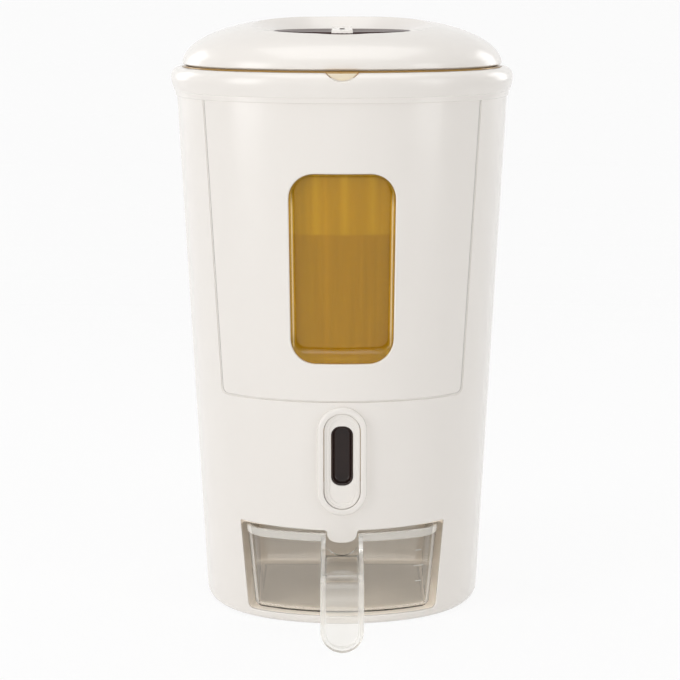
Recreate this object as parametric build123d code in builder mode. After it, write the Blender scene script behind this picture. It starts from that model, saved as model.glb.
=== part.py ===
"""Rice dispenser: a tapered casing with a lift-out hopper, a push-button gate and a measuring cup.

Millimetres, +Z up, front towards -Y, origin at the middle of the base's underside.
"""
import math
import os

from build123d import *

os.makedirs("parts", exist_ok=True)

# Plan of the body at floor level: a rounded square of eight tangent arcs
base_half_width = 100.0
base_half_depth = 97.0
corner_roundness = 0.8454
front_bow = 3.47
side_bow = 1.7
body_taper = 2.885

# Casing
wall = 2.6
shell_top = 385.3
bottom_round = 6.0
base_thickness = 2.6
ledge_thickness = 2.4
base_inset = 10.0
ledge_inset = 24.0
fit = 0.3
seat_gap = 0.2

# Front panel and its window
seam_gap = 3.5
panel_tuck = 8.0
panel_side = 16.4
panel_flare = 11.7
panel_corner = 4.0
panel_groove = 0.7
lip_thickness = 1.6
lip_reach = 6.0
window_sill = 26.5
window_head = 55.5
window_width = 71.6
window_corner = 17.0
pane_recess = 0.7
pane_flange = 4.0
pane_bevel = 0.9
pane_tray = 4.6
pane_side = 3.0
pane_sill = 7.0
pane_head = 1.8
tray_corner = 12.0

# Collar and lid
collar_overlap = 17.3
collar_band = 3.8
collar_step = 1.0
collar_flare_height = 6.2
collar_rise = 2.9
collar_growth = 22.6
collar_lip = 1.0
collar_round = 6.0
rim_ledge = 1.5
notch_width = 22.0
notch_depth = 5.5
lid_gap = 2.0
lid_growth = 14.5
lid_height = 32.5
lid_crown = 8.5
lid_wall = 2.4
lid_steps = 6
liner_thickness = 2.0
seal_width = 3.5
seal_height = 1.5

# Lid hinge
pin_radius = 2.0
pin_fit = 0.05
knuckle_radius = 4.5
hinge_stand_off = 4.9
hinge_rise = 1.3
centre_ear = 9.7
knuckle_length = 12.0
outer_ear = 7.7
ear_gap = 0.3
hinge_arm = 5.4
ear_root = 1.0

# Dial and the compartment under it
dial_setback = 59.0
dial_radius = 48.0
dial_gap = 0.4
well_depth = 11.7
well_floor = 2.4
well_wall = 5.0
well_lip = 3.2
scoop_round = 9.0
dial_thickness = 3.1
dial_dish = 1.5
dial_rim = 3.0
spindle_radius = 6.0
spindle_flange = 7.6
spindle_snap = 2.0
grip_width = 15.6
grip_height = 3.6
grip_inset = 0.5
grip_round = 1.2
pointer_radius = 1.9
pointer_reach = 26.0
pointer_depth = 1.0
cup_radius = 42.0
cup_wall = 1.6
vent_width = 3.0
vent_length = 21.0
vent_ring = 25.2
vent_count = 12

# Hopper bucket
bucket_inset = 9.0
bucket_wall = 2.2
bucket_rim = 2.4
bucket_rim_growth = 14.0
hopper_height = 70.0
neck_length = 8.0
neck_half_width = 26.0
neck_half_depth = 23.0
neck_corner = 10.0
outlet_y = -34.0

# Push button
button_gap = 11.5
bezel_width = 34.6
bezel_height = 78.0
bezel_proud = 3.0
bezel_round = 1.8
bezel_sleeve = 9.0
bezel_step = 1.7
bezel_band = 4.5
plate_proud = 1.6
plate_back = 3.5
plate_step = 0.6
plate_step_in = 2.0
slot_side = 4.9
slot_head = 9.1
slot_foot = 16.7
recess_depth = 5.5
recess_wall = 1.2
insert_flange = 2.0
rod_radius = 2.6
rod_flange = 1.3
rod_rise = 5.6
rod_length = 14.0
button_travel = 8.25

# Gate and chute
leg_height = 5.7
track_plate = 4.0
gate_thickness = 3.6
gate_half_width = 35.6
gate_land = 4.0
gate_slot = 8.0
gate_slot_length = 44.0
gate_slot_count = 3
tongue_half_width = 8.0
tab_thickness = 2.5
tab_rise = 10.0
rail_width = 8.0
cover_thickness = 3.8
chute_lead = 8.0
rear_post = 4.0
post_half_width = 10.0
post_height = 9.0
socket_wall = 2.2
socket_height = 5.0
socket_margin = 2.5
spout_wall = 2.0
leg_radius = 4.0
spring_radius = 3.5
wire_radius = 0.45
spring_turns = 6
spring_room = 1.0
spring_space = 30.0
spring_pin_radius = 2.2
spring_pin_reach = 18.0

# Drawer mouth, bay and cup
mouth_high = 70.0
mouth_side = 33.5
mouth_flare = 5.4
mouth_corner = 4.0
bay_wall = 2.0
runner_x = 30.0
runner_width = 4.0
runner_front = -60.0
tab_width = 21.0
tab_depth = 9.0
cup_headroom = 2.5
cup_side_gap = 4.5
cup_rear_gap = 0.4
cup_taper = 5.31
cup_recess = 1.5
cup_rear = 33.0
cup_thickness = 2.0
cup_front_round = 6.0
cup_rear_round = 14.0
cup_bottom_round = 5.0
rim_band = 6.0
rim_proud = 1.0

# Cup handle
handle_width = 29.4
handle_flange = 4.0
handle_web = 2.4
handle_depth = 7.4
handle_drop = 17.5
handle_reach = 66.7
handle_tip = 3.0
handle_bend = 16.0
cup_notch_depth = 16.3
cup_notch_side = 8.5
gusset_drop = 3.0
gusset_reach = 30.0

# Pads and screws of the base
pad_radius = 8.0
pad_depth = 1.2
pad_x = 54.0
pad_y = 50.0
screw_setback = 20.0
screw_y = 25.0
screw_radius = 1.5
screw_head = 3.2
screw_head_height = 1.4
screw_length = 11.0
screw_cross = 3.8
screw_cross_width = 0.64
boss_radius = 4.0
boss_height = 9.0
boss_skin = 2.0


# Arcs of the plan: the bowed faces run tangent into the corners, with the same centres at every height
corner_radius = corner_roundness * min(base_half_width, base_half_depth)
corner_x = base_half_width - side_bow - corner_radius
corner_y = front_bow + corner_radius - base_half_depth
corner_reach = corner_x ** 2 + corner_y ** 2
face_y = (corner_reach - (base_half_depth - corner_radius) ** 2) / (2 * front_bow)
side_x = ((base_half_width - corner_radius) ** 2 - corner_reach) / (2 * side_bow)
front_radius = base_half_depth + face_y
side_radius = base_half_width - side_x
front_swing = math.degrees(math.atan2(corner_x, face_y - corner_y))
side_swing = math.degrees(math.atan2(-corner_y, corner_x - side_x))
slope = math.tan(math.radians(body_taper))
far = 2 * base_half_depth

# Heights from the base up to the hopper
ledge_top = base_thickness + ledge_thickness
boss_top = ledge_top + boss_height
bay_floor_z = ledge_top + bay_wall
mouth_low = bay_floor_z - seat_gap
bay_ceiling = mouth_high + fit
bay_roof = bay_ceiling + bay_wall
cup_low = bay_floor_z + fit
cup_top = mouth_high - cup_headroom
track_z = bay_roof + leg_height + track_plate
gate_low = track_z + fit
gate_top = gate_low + gate_thickness
neck_low = gate_top + fit + cover_thickness
hopper_low = neck_low + neck_length
hopper_top = hopper_low + hopper_height

# Heights of the front and of the pieces at the casing's top
button_z = mouth_high + button_gap + bezel_height / 2
collar_low = shell_top - collar_overlap
flare_low = collar_low + collar_band
collar_flare_top = flare_low + collar_flare_height
collar_top = shell_top + collar_rise
rim_ledge_z = shell_top + rim_ledge
panel_low = button_z + bezel_height / 2 + seam_gap
panel_high = collar_low + panel_tuck
panel_half_low = base_half_width - panel_side
panel_half_high = panel_half_low + panel_flare
window_low = panel_low + window_sill
window_height = panel_high - window_head - window_low
window_z = window_low + window_height / 2
lid_low = collar_top + lid_gap
lid_top = lid_low + lid_height
hinge_z = lid_low + hinge_rise
well_floor_z = lid_top - well_depth


def growth_at(height):
    """How far the casing's outside has grown beyond its floor-level plan at a height."""
    return height * slope


def plan(growth):
    """Face of the body's plan, grown outward by `growth` from its floor-level size."""
    with BuildLine() as outline:
        for turn in (0, 180):
            way = 1 if turn == 0 else -1
            CenterArc((0, way * face_y), front_radius + growth, turn + 270 - front_swing, 2 * front_swing)
            CenterArc((way * corner_x, way * corner_y), corner_radius + growth,
                      turn + 270 + front_swing, 90 - front_swing - side_swing)
            CenterArc((way * side_x, 0), side_radius + growth, turn - side_swing, 2 * side_swing)
            CenterArc((way * corner_x, -way * corner_y), corner_radius + growth,
                      turn + side_swing, 90 - front_swing - side_swing)
    make_face(outline.edges())


def drum(low, high, inset, mode=Mode.ADD):
    """Tapered solid of the casing's form between two heights, drawn in by `inset`."""
    with BuildSketch(Plane.XY.offset(low)) as foot:
        plan(growth_at(low) - inset)
    extrude(foot.sketch, amount=high - low, taper=-body_taper, mode=mode)


def ring(low, high, growth, mode=Mode.ADD):
    """Upright solid of the plan between two heights."""
    with BuildSketch(Plane.XY.offset(low)) as foot:
        plan(growth)
    extrude(foot.sketch, amount=high - low, mode=mode)


def trapezoid(half_low, low, half_high, high, corner):
    """Upright front-view outline, wider at the top, with rounded corners."""
    with BuildLine() as outline:
        Polyline((-half_low, low), (half_low, low), (half_high, high), (-half_high, high), close=True)
    face = make_face(outline.edges())
    fillet(face.vertices(), corner)


def panel_outline(grow):
    """Front-view outline of the front panel, grown by `grow`."""
    trapezoid(panel_half_low + grow, panel_low - grow, panel_half_high + grow, panel_high + grow,
              panel_corner)


def front_prism(mode):
    """Push the last front-view sketch forward through the front wall."""
    extrude(amount=far, mode=mode)


# Outer shell: the casing with its panel opening, button hole, base ledge and tabbed drawer mouth
button_tilt = math.radians(body_taper)
button_face = Plane(
    origin=(0, -(base_half_depth + growth_at(button_z)), button_z),
    x_dir=(1, 0, 0),
    z_dir=(0, -math.cos(button_tilt), -math.sin(button_tilt)),
)
sleeve_width = bezel_width - 2 * bezel_step
sleeve_height = bezel_height - 2 * bezel_step
screw_x = base_half_width - screw_setback
mouth_half_low = base_half_width - mouth_side
mouth_half_high = mouth_half_low + mouth_flare

with BuildPart() as panel_lip:
    drum(panel_low - 2 * lip_reach, panel_high + lip_reach, wall)
    drum(panel_low - 2 * lip_reach, panel_high + lip_reach, wall + lip_thickness, Mode.SUBTRACT)
    with BuildSketch(Plane.XZ):
        panel_outline(lip_reach)
    front_prism(Mode.INTERSECT)
    with BuildSketch(Plane.XZ):
        panel_outline(-lip_reach)
    front_prism(Mode.SUBTRACT)

with BuildPart() as outer_shell:
    drum(0, shell_top, 0)
    fillet(outer_shell.edges().group_by(Axis.Z)[0], bottom_round)
    drum(ledge_top, shell_top, wall, Mode.SUBTRACT)
    ring(0, ledge_top, -ledge_inset, Mode.SUBTRACT)
    ring(0, base_thickness, -base_inset, Mode.SUBTRACT)
    with BuildSketch(Plane.XZ):
        panel_outline(panel_groove)
    front_prism(Mode.SUBTRACT)
    with BuildSketch(Plane.XZ):
        trapezoid(mouth_half_low, mouth_low, mouth_half_high, mouth_high, mouth_corner)
        with BuildLine() as tab_edge:
            ThreePointArc((-tab_width / 2, mouth_high), (0, mouth_high - tab_depth), (tab_width / 2, mouth_high))
            Line((-tab_width / 2, mouth_high), (tab_width / 2, mouth_high))
        make_face(tab_edge.edges(), mode=Mode.SUBTRACT)
    front_prism(Mode.SUBTRACT)
    add(panel_lip.part)
    with BuildSketch(button_face):
        SlotOverall(sleeve_height + 2 * seat_gap, sleeve_width + 2 * seat_gap, rotation=90)
    extrude(amount=2 * wall, both=True, mode=Mode.SUBTRACT)
    with BuildSketch(Plane.XY.offset(ledge_top)):
        with GridLocations(2 * screw_x, 2 * screw_y, 2, 2):
            Circle(boss_radius)
    extrude(amount=boss_height)
    with BuildSketch(Plane.XY):
        with GridLocations(2 * screw_x, 2 * screw_y, 2, 2):
            Circle(screw_radius + pin_fit)
    extrude(amount=boss_top - boss_skin, mode=Mode.SUBTRACT)
outer_shell.part.label = "outer_shell"
export_step(outer_shell.part, "parts/outer_shell.step")


# Front panel: a curved plate flush with the casing, with the window opening
with BuildPart() as front_panel:
    drum(panel_low - lip_reach, panel_high + lip_reach, 0)
    drum(panel_low - lip_reach, panel_high + lip_reach, wall - seat_gap, Mode.SUBTRACT)
    with BuildSketch(Plane.XZ):
        panel_outline(0)
    front_prism(Mode.INTERSECT)
    with BuildSketch(Plane.XZ):
        with Locations((0, window_z)):
            RectangleRounded(window_width, window_height, window_corner)
    front_prism(Mode.SUBTRACT)
front_panel.part.label = "front_panel"
export_step(front_panel.part, "parts/front_panel.step")


# Window pane: an amber tray in the opening, deeper at its sill, with a flange behind the panel
tray_width = window_width - 2 * (fit + pane_side)
tray_low = window_low + fit + pane_sill
tray_high = window_low + window_height - fit - pane_head
tray_back = pane_recess + pane_tray + lip_thickness

with BuildPart() as pane_body:
    drum(panel_low, panel_high, pane_recess)
    drum(panel_low, panel_high, tray_back, Mode.SUBTRACT)
    with BuildSketch(Plane.XZ):
        with Locations((0, window_z)):
            RectangleRounded(window_width - 2 * fit, window_height - 2 * fit, window_corner - fit)
    front_prism(Mode.INTERSECT)
    chamfer(pane_body.faces().sort_by(Axis.Y)[0].edges(), pane_bevel)
with BuildPart() as pane_hollow:
    drum(panel_low, panel_high, 0)
    drum(panel_low, panel_high, pane_recess + pane_tray, Mode.SUBTRACT)
    with BuildSketch(Plane.XZ):
        with Locations((0, (tray_low + tray_high) / 2)):
            RectangleRounded(tray_width, tray_high - tray_low, tray_corner)
    front_prism(Mode.INTERSECT)
with BuildPart() as window_pane:
    drum(panel_low, panel_high, wall)
    drum(panel_low, panel_high, wall + lip_thickness, Mode.SUBTRACT)
    with BuildSketch(Plane.XZ):
        with Locations((0, window_z)):
            RectangleRounded(window_width + 2 * pane_flange, window_height + 2 * pane_flange,
                             window_corner + pane_flange)
    front_prism(Mode.INTERSECT)
    add(pane_body.part)
    add(pane_hollow.part, mode=Mode.SUBTRACT)
window_pane.part.label = "window_pane"
export_step(window_pane.part, "parts/window_pane.step")


# Top collar: a flared band over the casing's top edge, with the bucket's ledge and the hinge ears
hinge_y = base_half_depth + collar_growth + hinge_stand_off
knuckle_start = centre_ear + ear_gap
ear_start = knuckle_start + knuckle_length + ear_gap
hinge_end = ear_start + outer_ear
collar_lip_growth = growth_at(collar_low) + collar_lip
flare_growth = collar_lip_growth + collar_step
collar_flare = math.degrees(math.atan2(collar_growth - flare_growth, collar_flare_top - flare_low))
bucket_mouth = growth_at(rim_ledge_z) - bucket_inset + 2 * fit
notch_radius = (notch_width / 2) ** 2 / (2 * notch_depth) + notch_depth / 2


def ear_profile():
    """Side view of a hinge ear: a round eye on a bracket that runs down the collar's back."""
    with BuildLine() as bracket:
        Polyline(
            (hinge_y - hinge_stand_off - wall, collar_flare_top),
            (hinge_y - hinge_stand_off - wall, collar_top - ear_root),
            (hinge_y - knuckle_radius, hinge_z),
            (hinge_y + knuckle_radius, hinge_z),
            (hinge_y - hinge_stand_off + wall, collar_flare_top),
            close=True,
        )
    make_face(bracket.edges())
    with Locations((hinge_y, hinge_z)):
        Circle(knuckle_radius)


def pin_bore():
    """Bore of the hinge pin, right across."""
    with Locations((0, hinge_y, hinge_z)):
        Cylinder(pin_radius + pin_fit, 4 * hinge_end, rotation=(0, 90, 0), mode=Mode.SUBTRACT)


with BuildPart() as top_collar:
    ring(collar_low, flare_low, collar_lip_growth)
    with BuildSketch(Plane.XY.offset(flare_low)):
        plan(flare_growth)
    extrude(amount=collar_flare_top - flare_low, taper=-collar_flare)
    ring(collar_flare_top, collar_top, collar_growth)
    fillet(top_collar.edges().group_by(Axis.Z)[-1], collar_round)
    with BuildSketch(Plane.YZ.offset(-centre_ear)):
        ear_profile()
    extrude(amount=2 * centre_ear)
    for start in (-hinge_end, ear_start):
        with BuildSketch(Plane.YZ.offset(start)):
            ear_profile()
        extrude(amount=outer_ear)
    drum(collar_low, shell_top, -seat_gap, Mode.SUBTRACT)
    ring(shell_top, collar_top, bucket_mouth, Mode.SUBTRACT)
    ring(rim_ledge_z, collar_top, bucket_rim_growth + fit, Mode.SUBTRACT)
    with BuildSketch(Plane.XZ.offset(base_half_depth + bucket_rim_growth)):
        with Locations((0, collar_top - notch_depth + notch_radius)):
            Circle(notch_radius)
    extrude(amount=collar_growth, mode=Mode.SUBTRACT)
    pin_bore()
top_collar.part.label = "top_collar"
export_step(top_collar.part, "parts/top_collar.step")


# Hinge pin, held in the collar's ears
with BuildPart() as hinge_pin:
    with Locations((0, hinge_y, hinge_z)):
        Cylinder(pin_radius, 2 * hinge_end, rotation=(0, 90, 0))
    chamfer(hinge_pin.edges().filter_by(GeomType.CIRCLE), pin_radius / 5)
hinge_pin.part.label = "hinge_pin"
export_step(hinge_pin.part, "parts/hinge_pin.step")


# Lid: a thin dome with a round well for the dial and two hinge knuckles at the back
def dome(growth, height, run):
    """Dome on the lid's rim: plans that shrink upward along a quarter of an ellipse."""
    levels = []
    for step in range(lid_steps + 1):
        climb = math.radians(90 * step / lid_steps)
        with BuildSketch(Plane.XY.offset(lid_low + height * math.sin(climb))) as level:
            plan(growth - run * (1 - math.cos(climb)))
        levels.append(level.sketch)
    loft(levels)


def dial_place(height):
    """Place on the dial's axis at a height."""
    return Locations((0, dial_y, height))


standing = (Align.CENTER, Align.CENTER, Align.MIN)
dial_y = dial_setback - base_half_depth
dial_axis = Axis((0, dial_y, 0), (0, 0, 1))
dial_section = Plane((0, dial_y, 0), x_dir=(1, 0, 0), z_dir=(0, -1, 0))
lid_run = lid_growth + corner_radius - lid_crown
lid_inner_growth = lid_growth - lid_wall
well_radius = dial_radius + dial_gap
well_underside = well_floor_z - well_floor
scoop_low = well_floor_z + well_lip
scoop_reach = well_radius + scoop_round
scoop_top = scoop_low + scoop_round

with BuildPart() as lid_cavity:
    dome(lid_inner_growth, lid_height - lid_wall, lid_run - lid_wall)
    with dial_place(well_underside):
        Cylinder(well_radius + well_wall, lid_height, align=standing, mode=Mode.SUBTRACT)

with BuildPart() as lid_shell:
    dome(lid_growth, lid_height, lid_run)
    add(lid_cavity.part, mode=Mode.SUBTRACT)
    with BuildSketch(dial_section):
        with BuildLine():
            Polyline((0, well_floor_z), (well_radius, well_floor_z), (well_radius, scoop_low))
            RadiusArc((well_radius, scoop_low), (scoop_reach, scoop_top), scoop_round)
            Polyline((scoop_reach, scoop_top), (scoop_reach, lid_top + scoop_round),
                     (0, lid_top + scoop_round), (0, well_floor_z))
        make_face()
    revolve(axis=dial_axis, mode=Mode.SUBTRACT)
    with dial_place(well_floor_z):
        Cylinder(spindle_radius + pin_fit, 2 * lid_height, mode=Mode.SUBTRACT)
    for start in (-knuckle_start - knuckle_length, knuckle_start):
        with BuildSketch(Plane.YZ.offset(start)):
            with Locations((hinge_y, hinge_z)):
                Circle(knuckle_radius)
            with Locations((base_half_depth + lid_inner_growth, lid_low + fit)):
                Rectangle(collar_growth - lid_inner_growth + hinge_stand_off, hinge_arm,
                          align=(Align.MIN, Align.MIN))
        extrude(amount=knuckle_length)
    pin_bore()
lid_shell.part.label = "lid_shell"
export_step(lid_shell.part, "parts/lid_shell.step")


# Liner plate inside the lid's rim, with the compartment's hole, and the soft seal under its edge
bucket_top = rim_ledge_z + bucket_rim
seal_low = bucket_top + fit
liner_low = seal_low + seal_height
liner_growth = lid_inner_growth - 2 * fit

with BuildPart() as lid_liner:
    ring(liner_low, liner_low + liner_thickness, liner_growth)
    with dial_place(liner_low):
        Cylinder(cup_radius + fit, lid_height, mode=Mode.SUBTRACT)
lid_liner.part.label = "lid_liner"
export_step(lid_liner.part, "parts/lid_liner.step")

with BuildPart() as lid_seal:
    ring(seal_low, liner_low, liner_growth)
    ring(seal_low, liner_low, liner_growth - seal_width, Mode.SUBTRACT)
lid_seal.part.label = "lid_seal"
export_step(lid_seal.part, "parts/lid_seal.step")


# Desiccant compartment: an open-topped cup under the well, vented through its floor
with BuildPart() as desiccant_cup:
    with dial_place(liner_low):
        Cylinder(cup_radius, well_underside - liner_low, align=standing)
    with dial_place(liner_low + cup_wall):
        Cylinder(cup_radius - cup_wall, lid_height, align=standing, mode=Mode.SUBTRACT)
    with BuildSketch(Plane((0, dial_y, liner_low))):
        with PolarLocations(vent_ring, vent_count):
            SlotOverall(vent_length, vent_width)
    extrude(amount=2 * cup_wall, mode=Mode.SUBTRACT)
desiccant_cup.part.label = "desiccant_cup"
export_step(desiccant_cup.part, "parts/desiccant_cup.step")


# Dial: a dished smoked cap on a snap spindle, with a grip bar let into it and a pointer dot
dial_low = well_floor_z + fit
dial_top = dial_low + dial_thickness
dish_z = dial_top - dial_dish
grip_low = dish_z - 2 * fit
grip_top = grip_low + grip_height
snap_top = well_underside - fit

with BuildPart() as dial_cap:
    with BuildSketch(dial_section):
        with BuildLine():
            Polyline(
                (0, dish_z),
                (0, snap_top - spindle_snap),
                (spindle_flange, snap_top - spindle_snap),
                (spindle_flange, snap_top),
                (spindle_radius, snap_top),
                (spindle_radius, dial_low),
                (dial_radius, dial_low),
                (dial_radius, dial_top),
                (dial_radius - dial_rim, dial_top),
            )
            TangentArc((0, dish_z), (dial_radius - dial_rim, dial_top), tangent=(1, 0))
        make_face()
    revolve(axis=dial_axis)
    with dial_place(grip_low):
        Box(grip_width + seat_gap, 3 * dial_radius, lid_height, align=standing, mode=Mode.SUBTRACT)
dial_cap.part.label = "dial_cap"
export_step(dial_cap.part, "parts/dial_cap.step")

with BuildPart() as dial_grip:
    with dial_place(grip_low):
        Box(grip_width, 2 * dial_radius, grip_height, align=standing)
        Cylinder(dial_radius - grip_inset, grip_height, align=standing, mode=Mode.INTERSECT)
    fillet(dial_grip.edges().group_by(Axis.Z)[-1], grip_round)
    with Locations((0, dial_y - pointer_reach, grip_top - pointer_depth)):
        Cylinder(pointer_radius, lid_height, align=standing, mode=Mode.SUBTRACT)
dial_grip.part.label = "dial_grip"
export_step(dial_grip.part, "parts/dial_grip.step")

with BuildPart() as dial_pointer:
    with Locations((0, dial_y - pointer_reach, grip_top - pointer_depth)):
        Cylinder(pointer_radius - pin_fit, pointer_depth, align=standing)
dial_pointer.part.label = "dial_pointer"
export_step(dial_pointer.part, "parts/dial_pointer.step")


# Hopper bucket: tapered walls, a sloping floor and a short neck, hung by its rim
def neck_outline(grow):
    """Outline of the bucket's neck, grown by `grow`."""
    RectangleRounded(2 * (neck_half_width + grow), 2 * (neck_half_depth + grow), neck_corner + grow)


def hopper(thinner, mode):
    """Sloping floor and neck of the bucket, drawn in by `thinner`."""
    with BuildSketch(Plane.XY.offset(hopper_top)) as wide:
        plan(growth_at(hopper_top) - bucket_inset - thinner)
    with BuildSketch(Plane((0, outlet_y, hopper_low))) as narrow:
        neck_outline(-thinner)
    loft([wide.sketch, narrow.sketch], mode=mode)
    extrude(narrow.sketch, amount=neck_low - hopper_low, mode=mode)


with BuildPart() as inner_bucket:
    drum(hopper_top, bucket_top, bucket_inset)
    hopper(0, Mode.ADD)
    ring(rim_ledge_z, bucket_top, bucket_rim_growth)
    drum(hopper_top, bucket_top, bucket_inset + bucket_wall, Mode.SUBTRACT)
    hopper(bucket_wall, Mode.SUBTRACT)
inner_bucket.part.label = "inner_bucket"
export_step(inner_bucket.part, "parts/inner_bucket.step")


# Push button: a raised oval ring with a sleeve through the casing, and the stepped plate inside it
hole_height = bezel_height - 2 * bezel_band
hole_width = bezel_width - 2 * bezel_band
plate_height = hole_height - 2 * fit
plate_width = hole_width - 2 * fit
slot_height = plate_height - slot_head - slot_foot
slot_width = plate_width - 2 * slot_side
slot_rise = (slot_foot - slot_head) / 2


def oval(height, width):
    """Upright oval on the button's face."""
    SlotOverall(height, width, rotation=90)


with BuildPart() as button_bezel:
    with BuildSketch(button_face.offset(-bezel_proud)):
        oval(bezel_height, bezel_width)
    extrude(amount=2 * bezel_proud)
    fillet(button_bezel.faces().sort_by(Axis.Y)[0].edges(), bezel_round)
    drum(button_z - bezel_height, button_z + bezel_height, -seat_gap / 2, Mode.SUBTRACT)
    with BuildSketch(button_face.offset(-bezel_sleeve)):
        oval(sleeve_height, sleeve_width)
    extrude(amount=bezel_sleeve + bezel_proud / 2)
    with BuildSketch(button_face.offset(-2 * bezel_sleeve)):
        oval(hole_height, hole_width)
    extrude(amount=4 * bezel_sleeve, mode=Mode.SUBTRACT)
button_bezel.part.label = "button_bezel"
export_step(button_bezel.part, "parts/button_bezel.step")

with BuildPart() as button_plate:
    with BuildSketch(button_face.offset(-plate_back)):
        oval(plate_height, plate_width)
    extrude(amount=plate_back + plate_proud)
    for step in (1, 2):
        with BuildSketch(button_face.offset(plate_proud - step * plate_step)):
            oval(plate_height - 2 * step * plate_step_in, plate_width - 2 * step * plate_step_in)
        extrude(amount=plate_proud, mode=Mode.SUBTRACT)
    with BuildSketch(button_face):
        with Locations((0, slot_rise)):
            oval(slot_height, slot_width)
    extrude(amount=2 * plate_back, both=True, mode=Mode.SUBTRACT)
button_plate.part.label = "button_plate"
export_step(button_plate.part, "parts/button_plate.step")

insert_front = plate_proud - 2 * plate_step - seat_gap
with BuildPart() as button_insert:
    with BuildSketch(button_face.offset(insert_front)):
        with Locations((0, slot_rise)):
            oval(slot_height - seat_gap, slot_width - seat_gap)
    extrude(amount=-recess_depth - recess_wall)
    with BuildSketch(button_face.offset(-plate_back)):
        with Locations((0, slot_rise)):
            oval(slot_height + 2 * insert_flange, slot_width + 2 * insert_flange)
    extrude(amount=-recess_wall)
    with BuildSketch(button_face.offset(insert_front)):
        with Locations((0, slot_rise)):
            oval(slot_height - seat_gap - 2 * recess_wall, slot_width - seat_gap - 2 * recess_wall)
    extrude(amount=-recess_depth, mode=Mode.SUBTRACT)
button_insert.part.label = "button_insert"
export_step(button_insert.part, "parts/button_insert.step")

rod_drop = (button_z - gate_top - rod_rise) / math.cos(button_tilt)
with BuildPart() as push_rod:
    with BuildSketch(button_face.offset(-plate_back)):
        with Locations((0, -rod_drop)):
            Circle(rod_radius)
    extrude(amount=-rod_length)
    with BuildSketch(button_face.offset(-plate_back)):
        with Locations((0, -rod_drop)):
            Circle(rod_radius + rod_flange)
    extrude(amount=-rod_flange)
push_rod.part.label = "push_rod"
export_step(push_rod.part, "parts/push_rod.step")


# Drawer bay: a trapezoid tunnel behind the mouth, closed at the back, with a spout hole in its roof
bay_half_low = mouth_half_low + fit
bay_half_high = mouth_half_high + fit
cup_draft = math.tan(math.radians(cup_taper))
bay_rear = cup_rear + (cup_top - cup_low) * cup_draft + rim_proud + cup_rear_gap
gate_pitch = 2 * button_travel
spout_half_x = gate_slot_length / 2 + spout_wall
spout_half_y = gate_pitch * (gate_slot_count - 1) / 2 + gate_slot / 2 + spout_wall

with BuildPart() as drawer_bay:
    with BuildSketch(Plane.XZ.offset(-bay_rear - bay_wall)):
        trapezoid(bay_half_low + bay_wall, bay_floor_z - bay_wall, bay_half_high + bay_wall, bay_roof,
                  mouth_corner + bay_wall)
    extrude(amount=far)
    with BuildSketch(Plane.XZ.offset(-bay_rear)):
        trapezoid(bay_half_low, bay_floor_z, bay_half_high, bay_ceiling, mouth_corner)
    extrude(amount=far, mode=Mode.SUBTRACT)
    drum(0, bay_roof + bay_wall, wall + fit, Mode.INTERSECT)
    with BuildSketch(Plane((0, outlet_y, bay_ceiling - bay_wall))):
        Rectangle(2 * spout_half_x, 2 * spout_half_y)
    extrude(amount=3 * bay_wall, mode=Mode.SUBTRACT)
    with Locations((-runner_x, runner_front, base_thickness), (runner_x, runner_front, base_thickness)):
        Box(runner_width, bay_rear - runner_front, bay_floor_z - bay_wall - base_thickness,
            align=(Align.CENTER, Align.MIN, Align.MIN))
drawer_bay.part.label = "drawer_bay"
export_step(drawer_bay.part, "parts/drawer_bay.step")


# Outlet chute: the gate's track with the neck's socket above, and the spout and legs below
chute_half_width = gate_half_width + fit + rail_width
cover_rear = outlet_y + neck_half_depth + fit + socket_wall + socket_margin
cover_front = outlet_y - neck_half_depth - fit - socket_wall - socket_margin
chute_front = cover_front - chute_lead
chute_rear = cover_rear + spring_space + rear_post
chute_length = chute_rear - chute_front
post_front = chute_rear - rear_post
gate_rear = cover_rear
gate_front = outlet_y - gate_pitch * (gate_slot_count - 1) / 2 - button_travel - gate_slot / 2 - gate_land
spring_z = (gate_low + gate_top) / 2
spring_pocket = spring_radius + wire_radius + spring_room


def outlet_slots(shift):
    """Row of cross slots about the outlet, moved along Y by `shift`."""
    with Locations((0, outlet_y + shift)):
        with GridLocations(0, gate_pitch, 1, gate_slot_count):
            SlotOverall(gate_slot_length, gate_slot)


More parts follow.
